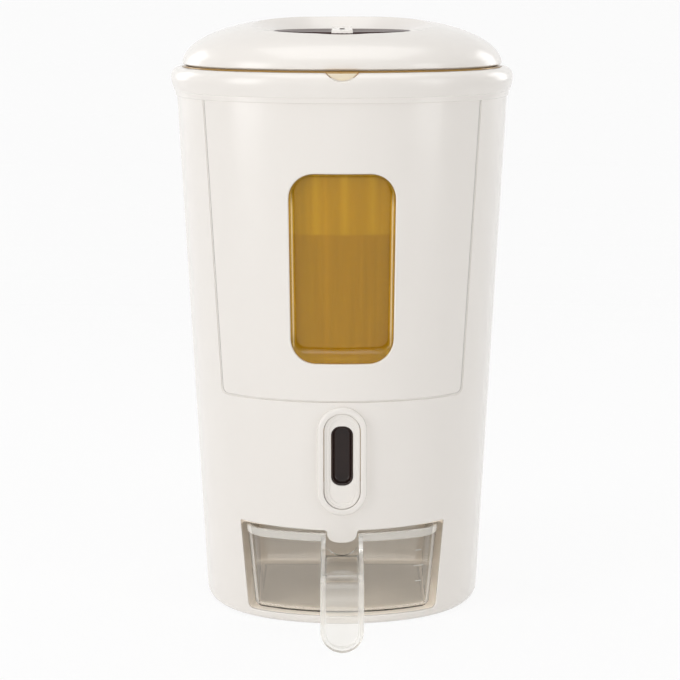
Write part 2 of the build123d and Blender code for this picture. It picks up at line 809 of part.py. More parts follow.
with BuildPart() as outlet_chute:
    with Locations((0, chute_front, track_z - track_plate)):
        Box(2 * chute_half_width, chute_length, track_plate, align=(Align.CENTER, Align.MIN, Align.MIN))
    with BuildSketch(Plane.XY.offset(track_z - track_plate)):
        with Locations((0, outlet_y)):
            Rectangle(2 * (spout_half_x + spout_wall), 2 * (spout_half_y + spout_wall))
            Rectangle(2 * spout_half_x, 2 * spout_half_y, mode=Mode.SUBTRACT)
        with Locations((0, (chute_front + chute_rear) / 2)):
            with GridLocations(2 * (chute_half_width - leg_radius), chute_length - 2 * leg_radius, 2, 2):
                Circle(leg_radius)
    extrude(amount=bay_roof - track_z + track_plate)
    for side in (-1, 1):
        with Locations((side * (chute_half_width - rail_width / 2), chute_front, track_z)):
            Box(rail_width, chute_length, neck_low - track_z, align=(Align.CENTER, Align.MIN, Align.MIN))
    with Locations((0, cover_front, gate_top + fit)):
        Box(2 * chute_half_width, cover_rear - cover_front, cover_thickness,
            align=(Align.CENTER, Align.MIN, Align.MIN))
    with Locations((0, post_front, track_z)):
        Box(2 * post_half_width, rear_post, post_height, align=(Align.CENTER, Align.MIN, Align.MIN))
    with BuildSketch(Plane((0, outlet_y, neck_low))):
        neck_outline(fit + socket_wall)
    extrude(amount=socket_height)
    with BuildSketch(Plane((0, outlet_y, neck_low))):
        neck_outline(fit)
    extrude(amount=socket_height, mode=Mode.SUBTRACT)
    with BuildSketch(Plane((0, outlet_y, gate_top))):
        neck_outline(-bucket_wall)
    extrude(amount=socket_height, mode=Mode.SUBTRACT)
    with BuildSketch(Plane.XY.offset(track_z - 2 * track_plate)):
        outlet_slots(0)
    extrude(amount=2 * track_plate, mode=Mode.SUBTRACT)
    with Locations((0, gate_rear, spring_z - spring_pocket)):
        Box(2 * spring_pocket, post_front - gate_rear, spring_pocket,
            align=(Align.CENTER, Align.MIN, Align.MIN), mode=Mode.SUBTRACT)
    with Locations((0, post_front, spring_z)):
        Cylinder(spring_pin_radius + pin_fit, 4 * rear_post, rotation=(90, 0, 0), mode=Mode.SUBTRACT)
outlet_chute.part.label = "outlet_chute"
export_step(outlet_chute.part, "parts/outlet_chute.step")


# Gate plate: a slotted slide with a tongue and an upturned tab in front of the push rod
rod_end = button_face.origin - button_face.y_dir * rod_drop - button_face.z_dir * (plate_back + rod_length)
gate_tab_front = rod_end.Y + fit

with BuildPart() as gate_plate:
    with Locations((0, gate_front, gate_low)):
        Box(2 * gate_half_width, gate_rear - gate_front, gate_thickness,
            align=(Align.CENTER, Align.MIN, Align.MIN))
    with Locations((0, gate_tab_front, gate_low)):
        Box(2 * tongue_half_width, gate_front - gate_tab_front, gate_thickness,
            align=(Align.CENTER, Align.MIN, Align.MIN))
        Box(2 * tongue_half_width, tab_thickness, gate_thickness + tab_rise,
            align=(Align.CENTER, Align.MIN, Align.MIN))
    with BuildSketch(Plane.XY.offset(gate_low)):
        outlet_slots(-button_travel)
    extrude(amount=gate_thickness, mode=Mode.SUBTRACT)
gate_plate.part.label = "gate_plate"
export_step(gate_plate.part, "parts/gate_plate.step")


# Return spring: a coil between the gate's rear edge and the post, with a guide pin in the post
spring_front = gate_rear + wire_radius + fit
spring_back = post_front - wire_radius - fit
spring_pitch = (spring_back - spring_front) / spring_turns


def coil_point(turns):
    """Point on the coil's centre line after a number of turns."""
    swing = 2 * math.pi * turns
    return Vector(spring_radius * math.cos(swing), spring_front + spring_pitch * turns,
                  spring_z + spring_radius * math.sin(swing))


def coil_heading(turns):
    """Direction of the coil's centre line after a number of turns."""
    swing = 2 * math.pi * turns
    return Vector(-spring_radius * math.sin(swing), spring_pitch / (2 * math.pi),
                  spring_radius * math.cos(swing)).normalized()


with BuildPart() as return_spring:
    with BuildLine() as coil:
        for half in range(2 * spring_turns):
            first, last = coil_point(half / 2), coil_point(half / 2 + 0.5)
            heading, leaving = coil_heading(half / 2), coil_heading(half / 2 + 0.5)
            span = last - first
            bend = 1 - heading.dot(leaving)
            along = span.dot(heading + leaving) / 2
            reach = (math.sqrt(along ** 2 + bend * span.dot(span) / 2) - along) / bend
            middle = (first + last + (heading - leaving) * reach) / 2
            TangentArc(first, middle, tangent=heading)
            TangentArc(middle, last, tangent=span - (heading + leaving) * reach)
    with BuildSketch(Plane(coil.line @ 0, z_dir=coil.line % 0)):
        Circle(wire_radius)
    sweep(path=coil.line)
print("least gap between the spring's turns", round(spring_pitch - 2 * wire_radius, 2), "mm")
return_spring.part.label = "return_spring"
export_step(return_spring.part, "parts/return_spring.step")

with BuildPart() as spring_pin:
    with Locations((0, chute_rear, spring_z)):
        Cylinder(spring_pin_radius, rear_post + spring_pin_reach, rotation=(90, 0, 0),
                 align=(Align.CENTER, Align.CENTER, Align.MIN))
    chamfer(spring_pin.edges().group_by(Axis.Y)[0], spring_pin_radius / 4)
spring_pin.part.label = "spring_pin"
export_step(spring_pin.part, "parts/spring_pin.step")


# Measuring cup: a clear tapered drawer with a rim band, a front notch and a flanged hanging handle
cup_half_low = mouth_half_low - cup_side_gap
handle_z = cup_top - handle_drop
cup_notch_low = cup_top - cup_notch_depth
cup_notch_straight = cup_top - cup_notch_side
gusset_top = cup_top - gusset_drop
cup_front_low = base_half_depth + growth_at(cup_top) - cup_recess - (cup_top - cup_low) * cup_draft
handle_front = -cup_front_low - handle_reach


def cup_growth(height):
    """How far the cup's outside has grown beyond its floor outline at a height."""
    return (height - cup_low) * cup_draft


def cup_outline(growth, thinner):
    """Plan of the cup: a front face that follows the casing, straight sides and a rounded back."""
    half = cup_half_low + growth - thinner
    front = cup_front_low + growth - thinner
    rear = cup_rear + growth - thinner
    side_y = face_y - math.sqrt((face_y + front) ** 2 - half ** 2)
    with BuildLine() as outline:
        ThreePointArc((-half, side_y), (0, -front), (half, side_y))
        Polyline((half, side_y), (half, rear), (-half, rear), (-half, side_y))
    face = make_face(outline.edges())
    fillet(face.vertices().group_by(Axis.Y)[0], cup_front_round + growth - thinner)
    fillet(face.vertices().group_by(Axis.Y)[-1], cup_rear_round + growth - thinner)


def handle_strip(width, low, high, tip):
    """Strip of the handle: level out of the cup, round a bend and down to a half-round tip."""
    with BuildPart() as strip:
        with BuildLine(Plane.YZ) as way:
            FilletPolyline((handle_root, handle_z), (handle_front, handle_z), (handle_front, tip),
                           radius=handle_bend)
        with BuildSketch(Plane(way.line @ 0, x_dir=(1, 0, 0), z_dir=way.line % 0)):
            with Locations((0, (low + high) / 2)):
                Rectangle(width, high - low)
        sweep(path=way.line)
        with BuildSketch(Plane.XZ):
            with Locations((0, tip + width / 2)):
                Circle(width / 2)
                Rectangle(width, 2 * handle_z, align=(Align.CENTER, Align.MIN))
        extrude(amount=far, mode=Mode.INTERSECT)
    return strip.part


handle_root = cup_thickness / 2 - cup_front_low - cup_growth(handle_z)
web_face = handle_web / 2
flange_face = handle_depth - handle_web / 2
notch_half = handle_width / 2 - handle_flange
handle_body = handle_strip(handle_width, -web_face, flange_face, handle_tip)
handle_pocket = handle_strip(2 * notch_half, web_face, handle_depth, handle_tip + handle_flange)
gusset_tip = handle_root - gusset_reach
gusset_low = handle_z + flange_face

with BuildPart() as measuring_cup:
    with BuildSketch(Plane.XY.offset(cup_low)):
        cup_outline(0, 0)
    extrude(amount=cup_top - cup_low, taper=-cup_taper)
    fillet(measuring_cup.edges().group_by(Axis.Z)[0], cup_bottom_round)
    with BuildSketch(Plane.XY.offset(cup_top - rim_band)):
        cup_outline(cup_growth(cup_top - rim_band) + rim_proud, 0)
    extrude(amount=rim_band, taper=-cup_taper)
    with BuildSketch(Plane.XY.offset(cup_low + cup_thickness)):
        cup_outline(cup_growth(cup_low + cup_thickness), cup_thickness)
    extrude(amount=cup_top - cup_low, taper=-cup_taper, mode=Mode.SUBTRACT)
    add(handle_body)
    add(handle_pocket, mode=Mode.SUBTRACT)
    for start in (-handle_width / 2, notch_half):
        with BuildSketch(Plane.YZ.offset(start)):
            with BuildLine():
                Polyline((gusset_tip, gusset_low), (gusset_tip, handle_z), (handle_root, handle_z),
                         (handle_root, gusset_top))
                TangentArc((gusset_tip, gusset_low), (handle_root, gusset_top), tangent=(1, 0))
            make_face()
        extrude(amount=handle_flange)
    with BuildSketch(Plane.XZ.offset(cup_front_low - cup_thickness)):
        with BuildLine():
            ThreePointArc((-notch_half, cup_notch_straight), (0, cup_notch_low),
                          (notch_half, cup_notch_straight))
            Polyline((notch_half, cup_notch_straight), (notch_half, bay_ceiling),
                     (-notch_half, bay_ceiling), (-notch_half, cup_notch_straight))
        make_face()
    extrude(amount=6 * cup_thickness, mode=Mode.SUBTRACT)
measuring_cup.part.label = "measuring_cup"
export_step(measuring_cup.part, "parts/measuring_cup.step")


# Base plate under the casing, held by countersunk screws, with a pad pocket at each corner
with BuildPart() as base_plate:
    ring(0, base_thickness, -base_inset - fit)
    with BuildSketch(Plane.XY):
        with GridLocations(2 * pad_x, 2 * pad_y, 2, 2):
            Circle(pad_radius + seat_gap)
    extrude(amount=pad_depth, mode=Mode.SUBTRACT)
    with BuildSketch(Plane.XY):
        with GridLocations(2 * screw_x, 2 * screw_y, 2, 2):
            Circle(screw_head + seat_gap)
    extrude(amount=screw_head_height + seat_gap, mode=Mode.SUBTRACT)
    with BuildSketch(Plane.XY):
        with GridLocations(2 * screw_x, 2 * screw_y, 2, 2):
            Circle(screw_radius + pin_fit)
    extrude(amount=2 * base_thickness, mode=Mode.SUBTRACT)
base_plate.part.label = "base_plate"
export_step(base_plate.part, "parts/base_plate.step")

with BuildPart() as base_screws:
    with BuildSketch(Plane.XY.offset(seat_gap)):
        with GridLocations(2 * screw_x, 2 * screw_y, 2, 2):
            Circle(screw_head)
    extrude(amount=screw_head_height)
    with BuildSketch(Plane.XY.offset(seat_gap)):
        with GridLocations(2 * screw_x, 2 * screw_y, 2, 2):
            Circle(screw_radius)
    extrude(amount=screw_length)
    with BuildSketch(Plane.XY.offset(seat_gap)):
        with GridLocations(2 * screw_x, 2 * screw_y, 2, 2):
            Rectangle(screw_cross, screw_cross_width)
            Rectangle(screw_cross_width, screw_cross)
    extrude(amount=screw_head_height / 2, mode=Mode.SUBTRACT)
base_screws.part.label = "base_screws"
export_step(base_screws.part, "parts/base_screws.step")

# Rubber pads under the four corners
pad_places = {
    "foot_front_left": (-pad_x, -pad_y),
    "foot_front_right": (pad_x, -pad_y),
    "foot_rear_left": (-pad_x, pad_y),
    "foot_rear_right": (pad_x, pad_y),
}
for pad_name, place in pad_places.items():
    with BuildPart() as foot_pad:
        with Locations(place):
            Cylinder(pad_radius, pad_depth, align=standing)
    foot_pad.part.label = pad_name
    export_step(foot_pad.part, f"parts/{pad_name}.step")
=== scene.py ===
"""Rice dispenser, dressed around its CAD frame. Sizes are in millimetres and MM turns them into metres."""
import math

import bmesh
import bpy
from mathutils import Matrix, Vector


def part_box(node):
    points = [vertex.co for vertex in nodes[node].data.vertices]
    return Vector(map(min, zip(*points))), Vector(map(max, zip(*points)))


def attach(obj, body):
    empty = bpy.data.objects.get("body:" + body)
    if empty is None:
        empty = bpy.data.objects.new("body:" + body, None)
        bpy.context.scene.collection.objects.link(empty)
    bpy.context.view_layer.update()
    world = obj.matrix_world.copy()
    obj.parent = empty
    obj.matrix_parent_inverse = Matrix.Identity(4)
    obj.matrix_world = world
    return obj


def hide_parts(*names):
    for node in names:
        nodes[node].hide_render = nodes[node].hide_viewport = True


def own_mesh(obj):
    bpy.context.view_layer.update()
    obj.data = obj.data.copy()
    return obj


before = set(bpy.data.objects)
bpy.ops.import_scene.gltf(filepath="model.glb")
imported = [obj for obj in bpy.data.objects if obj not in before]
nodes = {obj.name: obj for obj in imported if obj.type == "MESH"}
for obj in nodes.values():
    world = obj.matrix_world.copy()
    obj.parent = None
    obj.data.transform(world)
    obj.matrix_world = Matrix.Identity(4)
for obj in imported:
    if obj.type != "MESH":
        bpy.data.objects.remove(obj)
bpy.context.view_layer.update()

scene = bpy.context.scene
scene.view_settings.view_transform = "Standard"
MM = 0.001


# Node wiring that every finish below shares: a socket that takes part in plain sums,
# a tree whose nodes come from one method, and a material made with both.
class Wire:
    """A value in a node tree; a sum with it adds a Math node."""

    def __init__(self, wiring, socket):
        self.wiring, self.socket = wiring, socket

    def math(self, operation, *values):
        return self.wiring.node("ShaderNodeMath", dict(enumerate(values)), operation=operation)

    def __add__(self, other):
        return self.math("ADD", self, other)

    def __radd__(self, other):
        return self.math("ADD", other, self)

    def __sub__(self, other):
        return self.math("SUBTRACT", self, other)

    def __rsub__(self, other):
        return self.math("SUBTRACT", other, self)

    def __mul__(self, other):
        return self.math("MULTIPLY", self, other)

    def __rmul__(self, other):
        return self.math("MULTIPLY", other, self)

    def __abs__(self):
        return self.math("ABSOLUTE", self)


class Wiring:
    """A node tree, filled through one method."""

    def __init__(self, tree):
        self.tree = tree

    def node(self, kind, inputs=None, output=0, **settings):
        """Add a node: its settings first, then the values or links of its sockets."""
        node = self.tree.nodes.new(kind)
        for key, value in settings.items():
            setattr(node, key, value)
        for key, value in (inputs or {}).items():
            self.plug(node.inputs[key], value)
        return Wire(self, node.outputs[output])

    def plug(self, socket, value):
        """Link a wire to a socket, or set the socket's own value."""
        if isinstance(value, Wire):
            self.tree.links.new(value.socket, socket)
        else:
            socket.default_value = value


class Finish(Wiring):
    """A material: a Principled shader and the nodes that feed it."""

    def __init__(self, name, constants):
        self.material = bpy.data.materials.new(name)
        self.material.use_nodes = True
        super().__init__(self.material.node_tree)
        self.shader = self.tree.nodes["Principled BSDF"]
        self.surface = Wire(self, self.shader.outputs["BSDF"])
        for socket, value in constants.items():
            self.feed(socket, value)

    def feed(self, socket, value):
        """Plug a value into the main shader."""
        self.plug(self.shader.inputs[socket], value)

    def layer(self, share, over):
        """Mix a share of another shader over the surface so far."""
        self.surface = self.node("ShaderNodeMixShader", {"Fac": share, 1: self.surface, 2: over})
        self.plug(self.tree.nodes["Material Output"].inputs["Surface"], self.surface)

    def light_through(self, tint):
        """Let lamp light pass, tinted, instead of casting a black shadow."""
        shadow = self.node("ShaderNodeLightPath", output="Is Shadow Ray")
        self.layer(shadow, self.node("ShaderNodeBsdfTransparent", {"Color": shade(tint)}))

    def place(self):
        """Object coordinates, in metres."""
        return self.node("ShaderNodeTexCoord", output="Object")

    def along(self, axis):
        """Object coordinate along X, Y or Z."""
        return self.node("ShaderNodeSeparateXYZ", {"Vector": self.place()}, axis)

    def noise(self, scale, detail=2.0, stretch=(1, 1, 1)):
        """Noise of a scale per metre, from 0 to 1."""
        spot = self.node("ShaderNodeMapping", {"Vector": self.place(), "Scale": stretch})
        return self.node("ShaderNodeTexNoise", {"Vector": spot, "Scale": scale, "Detail": detail})

    def blend(self, factor, first, second):
        """Colour between two, each of them a wire or a screen colour."""
        ends = [shade(end) if isinstance(end, tuple) else end for end in (first, second)]
        return self.node("ShaderNodeMix", {0: factor, 6: ends[0], 7: ends[1]}, 2, data_type="RGBA")

    def ramp(self, value, low, high):
        """Zero below one place, one above another, smooth between; places in millimetres."""
        span = {"Value": value, "From Min": low * MM, "From Max": high * MM}
        return self.node("ShaderNodeMapRange", span, interpolation_type="SMOOTHSTEP")

    def hill(self, value, low, rising, falling, high):
        """One between two places, zero outside two others, smooth between."""
        return self.ramp(value, low, rising) * (1 - self.ramp(value, falling, high))

    def mottle(self, first, second, cloud, rough, spread, grain=None):
        """Colour that wanders between two with a noise, and roughness with it or with a finer one."""
        mist = self.noise(*cloud)
        tint = self.blend(mist, first, second)
        self.feed("Base Color", tint)
        self.feed("Roughness", rough + spread * (self.noise(*grain) if grain else mist))
        return tint


def shade(colour):
    """A colour written as it looks on a screen, 0 to 255, in the renderer's linear values."""
    linear = []
    for part in colour:
        part = part / 255
        linear.append(part / 12.92 if part <= 0.04045 else ((part + 0.055) / 1.055) ** 2.4)
    return (*linear, 1.0)


def toned(colour, factor):
    """A screen colour made darker or lighter."""
    return tuple(min(255, part * factor) for part in colour)


# Studio: a camera at the photograph's distance and slight downward tilt, a pale paper sweep,
# and large soft boxes, the stronger one on the left.
photo_side, focal_length, sensor_width = 680, 2068, 36.0
camera_place, camera_pitch = (-0.00145, -1.5, 0.453), 10.03
fill_strength, paper_share = 0.3, 0.88
sweep_near, sweep_bend, sweep_radius = -3.0, 1.2, 0.8
sweep_top, sweep_side, sweep_steps = 4.0, 4.0, 12
card_side, card_front, card_back, card_low, card_high = 0.7, -1.4, 0.3, 0.01, 0.5

camera_data = bpy.data.cameras.new("camera")
camera_data.sensor_width = sensor_width
camera_data.lens = sensor_width * focal_length / photo_side
camera = bpy.data.objects.new("camera", camera_data)
camera.location = camera_place
camera.rotation_euler = (math.radians(90 - camera_pitch), 0, 0)
scene.collection.objects.link(camera)
scene.camera = camera


def soft_box(name, place, aim, width, height, power):
    """Rectangular lamp at a place, facing a point."""
    lamp = bpy.data.lights.new(name, "AREA")
    lamp.shape, lamp.size, lamp.size_y, lamp.energy = "RECTANGLE", width, height, power
    stand = bpy.data.objects.new(name, lamp)
    stand.location = place
    stand.rotation_euler = (Vector(aim) - Vector(place)).to_track_quat("-Z", "Y").to_euler()
    scene.collection.objects.link(stand)
    return stand


soft_box("left_box", (-1.7, -1.05, 0.75), (0, 0, 0.22), 0.9, 1.5, 14.0)
soft_box("right_box", (1.6, -1.2, 0.65), (0, 0, 0.22), 0.7, 1.5, 7.5)
soft_box("top_box", (0.0, -0.2, 1.7), (0, 0, 0.3), 1.4, 1.2, 9.0)
soft_box("front_box", (0.0, -2.2, 0.6), (0, 0, 0.05), 1.0, 0.9, 6.5).visible_glossy = False
for side in (-1.5, 1.5):
    soft_box("rear_box", (side, 1.3, 0.8), (0, 0, 0.25), 0.8, 1.2, 6.5).visible_camera = False


def seen_straight(wiring):
    """One on rays from the camera, mirrors and glass, and nothing on light that only fills."""
    total = wiring.node("ShaderNodeLightPath", output="Is Camera Ray")
    for other in ("Is Glossy Ray", "Is Transmission Ray"):
        total = total.math("MAXIMUM", total, wiring.node("ShaderNodeLightPath", output=other))
    return total


world = bpy.data.worlds.new("studio")
scene.world = world
world.use_nodes = True
sky = Wiring(world.node_tree)
sky_level = sky.node("ShaderNodeMapRange", {"Value": seen_straight(sky), "To Min": fill_strength})
sky_inputs = world.node_tree.nodes["Background"].inputs
sky.plug(sky_inputs["Color"], (1, 1, 1, 1))
sky.plug(sky_inputs["Strength"], sky_level)


def sheet(name, points, faces, finish):
    """Thin studio sheet."""
    mesh = bpy.data.meshes.new(name)
    mesh.from_pydata(points, [], faces)
    mesh.materials.append(finish.material)
    stand = bpy.data.objects.new(name, mesh)
    scene.collection.objects.link(stand)
    return stand


sweep_profile = [(sweep_near, 0.0), (sweep_bend, 0.0)]
for step in range(1, sweep_steps + 1):
    climb = math.radians(90 * step / sweep_steps)
    sweep_profile.append((sweep_bend + sweep_radius * math.sin(climb), sweep_radius * (1 - math.cos(climb))))
sweep_profile.append((sweep_bend + sweep_radius, sweep_top))
paper_points = [(side, y, z) for y, z in sweep_profile for side in (-sweep_side, sweep_side)]
paper_faces = [(2 * i, 2 * i + 1, 2 * i + 3, 2 * i + 2) for i in range(len(sweep_profile) - 1)]
paper_finish = Finish("paper", {"Base Color": (0.93, 0.93, 0.93, 1)})
paper_finish.feed("Roughness", 0.85 + 0.1 * paper_finish.noise(220))
white_paper = paper_finish.node("ShaderNodeEmission", {"Color": (1, 1, 1, 1), "Strength": 1.0})
paper_finish.layer(seen_straight(paper_finish) * paper_share, white_paper)
paper = sheet("paper_sweep", paper_points, paper_faces, paper_finish)

card_finish = Finish("dark_card", {"Base Color": (0.03, 0.03, 0.03, 1)})
card_finish.feed("Roughness", 0.85 + 0.1 * card_finish.noise(200))
card_corners = ((card_front, card_low), (card_back, card_low), (card_back, card_high), (card_front, card_high))
for side in (-card_side, card_side):
    card = sheet("dark_card", [(side, y, z) for y, z in card_corners], [(0, 1, 2, 3)], card_finish)
    card.visible_camera = card.visible_diffuse = card.visible_glossy = card.visible_shadow = False


# Casing: one warm-white injection-moulded shell with a rounded foot. Its front is cut away for the
# panel, the button and the drawer, and a lip behind the opening carries the panel.
half_width, half_depth = 100.0, 97.0
face_radius, corner_radius = 122.0, 82.0
wall_lean = math.radians(2.885)
slope = math.tan(wall_lean)
wall, casing_top, foot_round, edge_round = 2.6, 385.3, 6.0, 0.9
ledge_top, base_thickness, ledge_inset, base_inset = 5.0, 2.6, 24.0, 10.0
arc_steps, shell_steps, side_steps, corner_steps = 24, 12, 36, 10
crease_angle = math.radians(32)

face_y = face_radius - half_depth
side_x = half_width - face_radius
centre_gap = math.hypot(face_y, side_x)
corner_reach = math.sqrt((face_radius - corner_radius) ** 2 - (centre_gap / 2) ** 2)
corner_x = side_x / 2 + corner_reach * face_y / centre_gap
corner_y = face_y / 2 + corner_reach * side_x / centre_gap
front_swing = math.atan2(corner_x, face_y - corner_y)
side_swing = math.atan2(-corner_y, corner_x - side_x)
corner_swing = math.pi / 2 - front_swing - side_swing


def plan_loop(growth, height, shift=0.0):
    """Points round the body's plan, grown outward from its floor-level size, at a height."""
    loop = []
    for way in (1, -1):
        turn = 0 if way == 1 else math.pi
        arcs = (
            (0, way * face_y, face_radius, turn - math.pi / 2 - front_swing, 2 * front_swing),
            (way * corner_x, way * corner_y, corner_radius, turn - math.pi / 2 + front_swing, corner_swing),
            (way * side_x, 0, face_radius, turn - side_swing, 2 * side_swing),
            (way * corner_x, -way * corner_y, corner_radius, turn + side_swing, corner_swing),
        )
        for x, y, radius, start, swing in arcs:
            for step in range(arc_steps):
                angle = start + swing * step / arc_steps
                reach = radius + growth
                loop.append((x + reach * math.cos(angle), shift + y + reach * math.sin(angle), height))
    return loop


def plan_loops(profile):
    """Loops round the body's plan for pairs of growth and height."""
    return [plan_loop(growth, height) for growth, height in profile]


def front_point(x, z, inset=0.0):
    """Point of the casing's front face at x and z, set in by `inset`."""
    grown = z * slope - inset
    if abs(x) <= (face_radius + grown) * math.sin(front_swing):
        return (x, face_y - math.sqrt((face_radius + grown) ** 2 - x * x), z)
    return (x, corner_y - math.sqrt((corner_radius + grown) ** 2 - (abs(x) - corner_x) ** 2), z)


def between(first, second, share):
    """Loop part of the way from one loop to another."""
    return [tuple(a + (b - a) * share for a, b in zip(p, q)) for p, q in zip(first, second)]


def straight(first, last, steps):
    """Points in line between two points, without those two."""
    return [between([first], [last], step / steps)[0] for step in range(1, steps)]


def rounded(corners, radius, along=side_steps, around=corner_steps):
    """Loop round four corners, rounded by one radius or by four; all such loops have one count."""
    loop = []
    radii = radius if isinstance(radius, tuple) else (radius,) * 4
    for index, corner in enumerate(corners):
        bend, coming = radii[index], radii[(index + 1) % 4]
        here, following = Vector(corner), Vector(corners[(index + 1) % 4])
        back = (Vector(corners[index - 1]) - here).normalized()
        ahead = (following - here).normalized()
        half = back.angle(ahead) / 2
        centre = here + (back + ahead).normalized() * (bend / math.sin(half))
        first = here + back * (bend / math.tan(half)) - centre
        turn = math.pi - 2 * half
        for step in range(around + 1):
            angle = turn * step / around
            x = first.x * math.cos(angle) - first.y * math.sin(angle)
            y = first.x * math.sin(angle) + first.y * math.cos(angle)
            loop.append((centre.x + x, centre.y + y))
        beyond = (Vector(corners[(index + 2) % 4]) - following).normalized()
        open_half = (-ahead).angle(beyond) / 2
        loop += straight(loop[-1], following - ahead * (coming / math.tan(open_half)), along)
    return loop


def trapezoid(low, high, bottom, top, radius, *steps):
    """Rounded outline about x = 0, with one half width at the bottom and one at the top."""
    return rounded([(-low, bottom), (low, bottom), (high, top), (-high, top)], radius, *steps)


def flat_loop(loop, y):
    """A front-view loop on an upright plane."""
    return [(x, y, z) for x, z in loop]


def on_front(loop, inset):
    """A front-view loop laid on the casing's front face, set in by `inset`."""
    return [front_point(x, z, inset) for x, z in loop]


def quarter(steps=4, first=0.0):
    """Angles over a quarter turn."""
    return [first + (math.pi / 2 - first) * step / steps for step in range(steps + 1)]


def eased(radius, steps=4, first=0.0):
    """Pairs round an edge: one number goes from nothing to the radius while the other goes back."""
    return [(radius * (1 - math.cos(angle)), radius * (1 - math.sin(angle))) for angle in quarter(steps, first)]


def loft(name, loops, ring=False):
    """Closed piece through loops of equal count: a ring of loops, or a stack with both ends capped."""
    count = len(loops[0])
    points = [Vector(point) * MM for loop in loops for point in loop]
    faces = []
    for level in range(len(loops) if ring else len(loops) - 1):
        low, high = level * count, (level + 1) % len(loops) * count
        for spot in range(count):
            after = (spot + 1) % count
            faces.append((low + spot, low + after, high + after, high + spot))
    if not ring:
        for loop, start in ((loops[0], 0), (loops[-1], (len(loops) - 1) * count)):
            points.append(sum((Vector(point) for point in loop), Vector()) / count * MM)
            faces.extend((start + spot, start + (spot + 1) % count, len(points) - 1) for spot in range(count))
    return piece_from(name, points, faces)


def piece_from(name, points, faces):
    """Mesh object with merged points and outward faces."""
    mesh = bpy.data.meshes.new(name)
    mesh.from_pydata(points, [], faces)
    form = bmesh.new()
    form.from_mesh(mesh)
    bmesh.ops.remove_doubles(form, verts=form.verts, dist=1e-6)
    bmesh.ops.dissolve_degenerate(form, edges=form.edges, dist=1e-7)
    bmesh.ops.recalc_face_normals(form, faces=form.faces)
    form.to_mesh(mesh)
    form.free()
    piece = bpy.data.objects.new(name, mesh)
    scene.collection.objects.link(piece)
    return piece


def bake_modifiers(piece):
    """Turn a piece's modifiers into plain mesh."""
    shaped = piece.evaluated_get(bpy.context.evaluated_depsgraph_get())
    mesh = bpy.data.meshes.new_from_object(shaped)
    mesh.name = piece.name
    piece.modifiers.clear()
    piece.data = mesh


def carve(piece, tool, operation="DIFFERENCE"):
    """Cut a tool out of a piece, or join it on, and put the tool away."""
    cut = piece.modifiers.new("cut", "BOOLEAN")
    cut.operation, cut.solver, cut.object = operation, "EXACT", tool
    bake_modifiers(piece)
    bpy.data.objects.remove(tool)


def gather(piece, *others):
    """Put other closed meshes into a piece's mesh."""
    form = bmesh.new()
    form.from_mesh(piece.data)
    for other in others:
        form.from_mesh(other.data)
        bpy.data.objects.remove(other)
    form.to_mesh(piece.data)
    form.free()


def dress(piece, body, finish, stands_for):
    """Smooth a finished piece by its larger faces, give it its finish and fix it to a body."""
    for face in piece.data.polygons:
        face.use_smooth = True
    piece.data.set_sharp_from_angle(angle=crease_angle)
    piece.modifiers.new("even", "WEIGHTED_NORMAL").keep_sharp = True
    bake_modifiers(piece)
    piece.data.materials.clear()
    piece.data.materials.append(finish.material)
    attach(piece, body)
    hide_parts(stands_for)


def cream_plastic(name, colour, gloss=0.24, glow=0.0):
    """Moulded cream plastic: a faint cloud in the colour and a fine skin of the mould's polish; `glow` makes it
    shine a little, painted light.
    """
    finish = Finish(name, {"Coat Weight": 0.3, "Coat Roughness": 0.1, "IOR": 1.48, "Emission Strength": glow})
    finish.mottle(toned(colour, 0.994), colour, (9, 1), gloss, 0.03, (500, 1))
    return finish


cream = cream_plastic("cream_plastic", (239, 234, 228))

shell_profile = [(foot_round * slope - less, more) for more, less in eased(foot_round, 6)]
for step in range(1, shell_steps + 1):
    height = foot_round + (casing_top - foot_round) * step / shell_steps
    shell_profile.append((height * slope, height))
shell_profile += [(casing_top * slope - wall, casing_top), (ledge_top * slope - wall, ledge_top),
                  (-ledge_inset, ledge_top), (-ledge_inset, base_thickness), (-base_inset, base_thickness),
                  (-base_inset, 0)]
outer_shell = loft("outer_shell_skin", plan_loops(shell_profile), ring=True)


def flared_tool(name, outline):
    """Cutter through the front wall whose mouth flares, so that the cut edge comes out rounded."""
    edge = eased(edge_round, first=math.radians(14))
    widest = outline(edge[0][1])
    stack = [flat_loop(widest, -2 * half_depth), on_front(widest, -1.0)]
    stack += [on_front(outline(less), more) for more, less in edge]
    stack.append(flat_loop(outline(0), -half_depth / 4))
    return loft(name, stack)


panel_low, panel_high = 163.0, 376.0
panel_half_low, panel_half_high = 83.6, 95.3
panel_groove, panel_corner = 0.7, 4.0


def panel_outline(grow):
    """Front-view outline of the panel, grown by `grow`."""
    return trapezoid(panel_half_low + grow, panel_half_high + grow, panel_low - grow, panel_high + grow,
                     panel_corner)


def on_panel(grow, inset):
    """The panel's outline, grown by `grow`, on the casing's front face, set in by `inset`."""
    return on_front(panel_outline(grow), inset)


mouth_low, mouth_high, mouth_half_low, mouth_half_high = 6.8, 70.0, 66.5, 71.9
mouth_corner, mouth_peak, mouth_arch = 4.0, 1.2, 2.0
tab_half, tab_depth, tab_flare, tab_power, tab_steps, top_steps = 10.6, 9.0, 2.0, 2.4, 40, 12


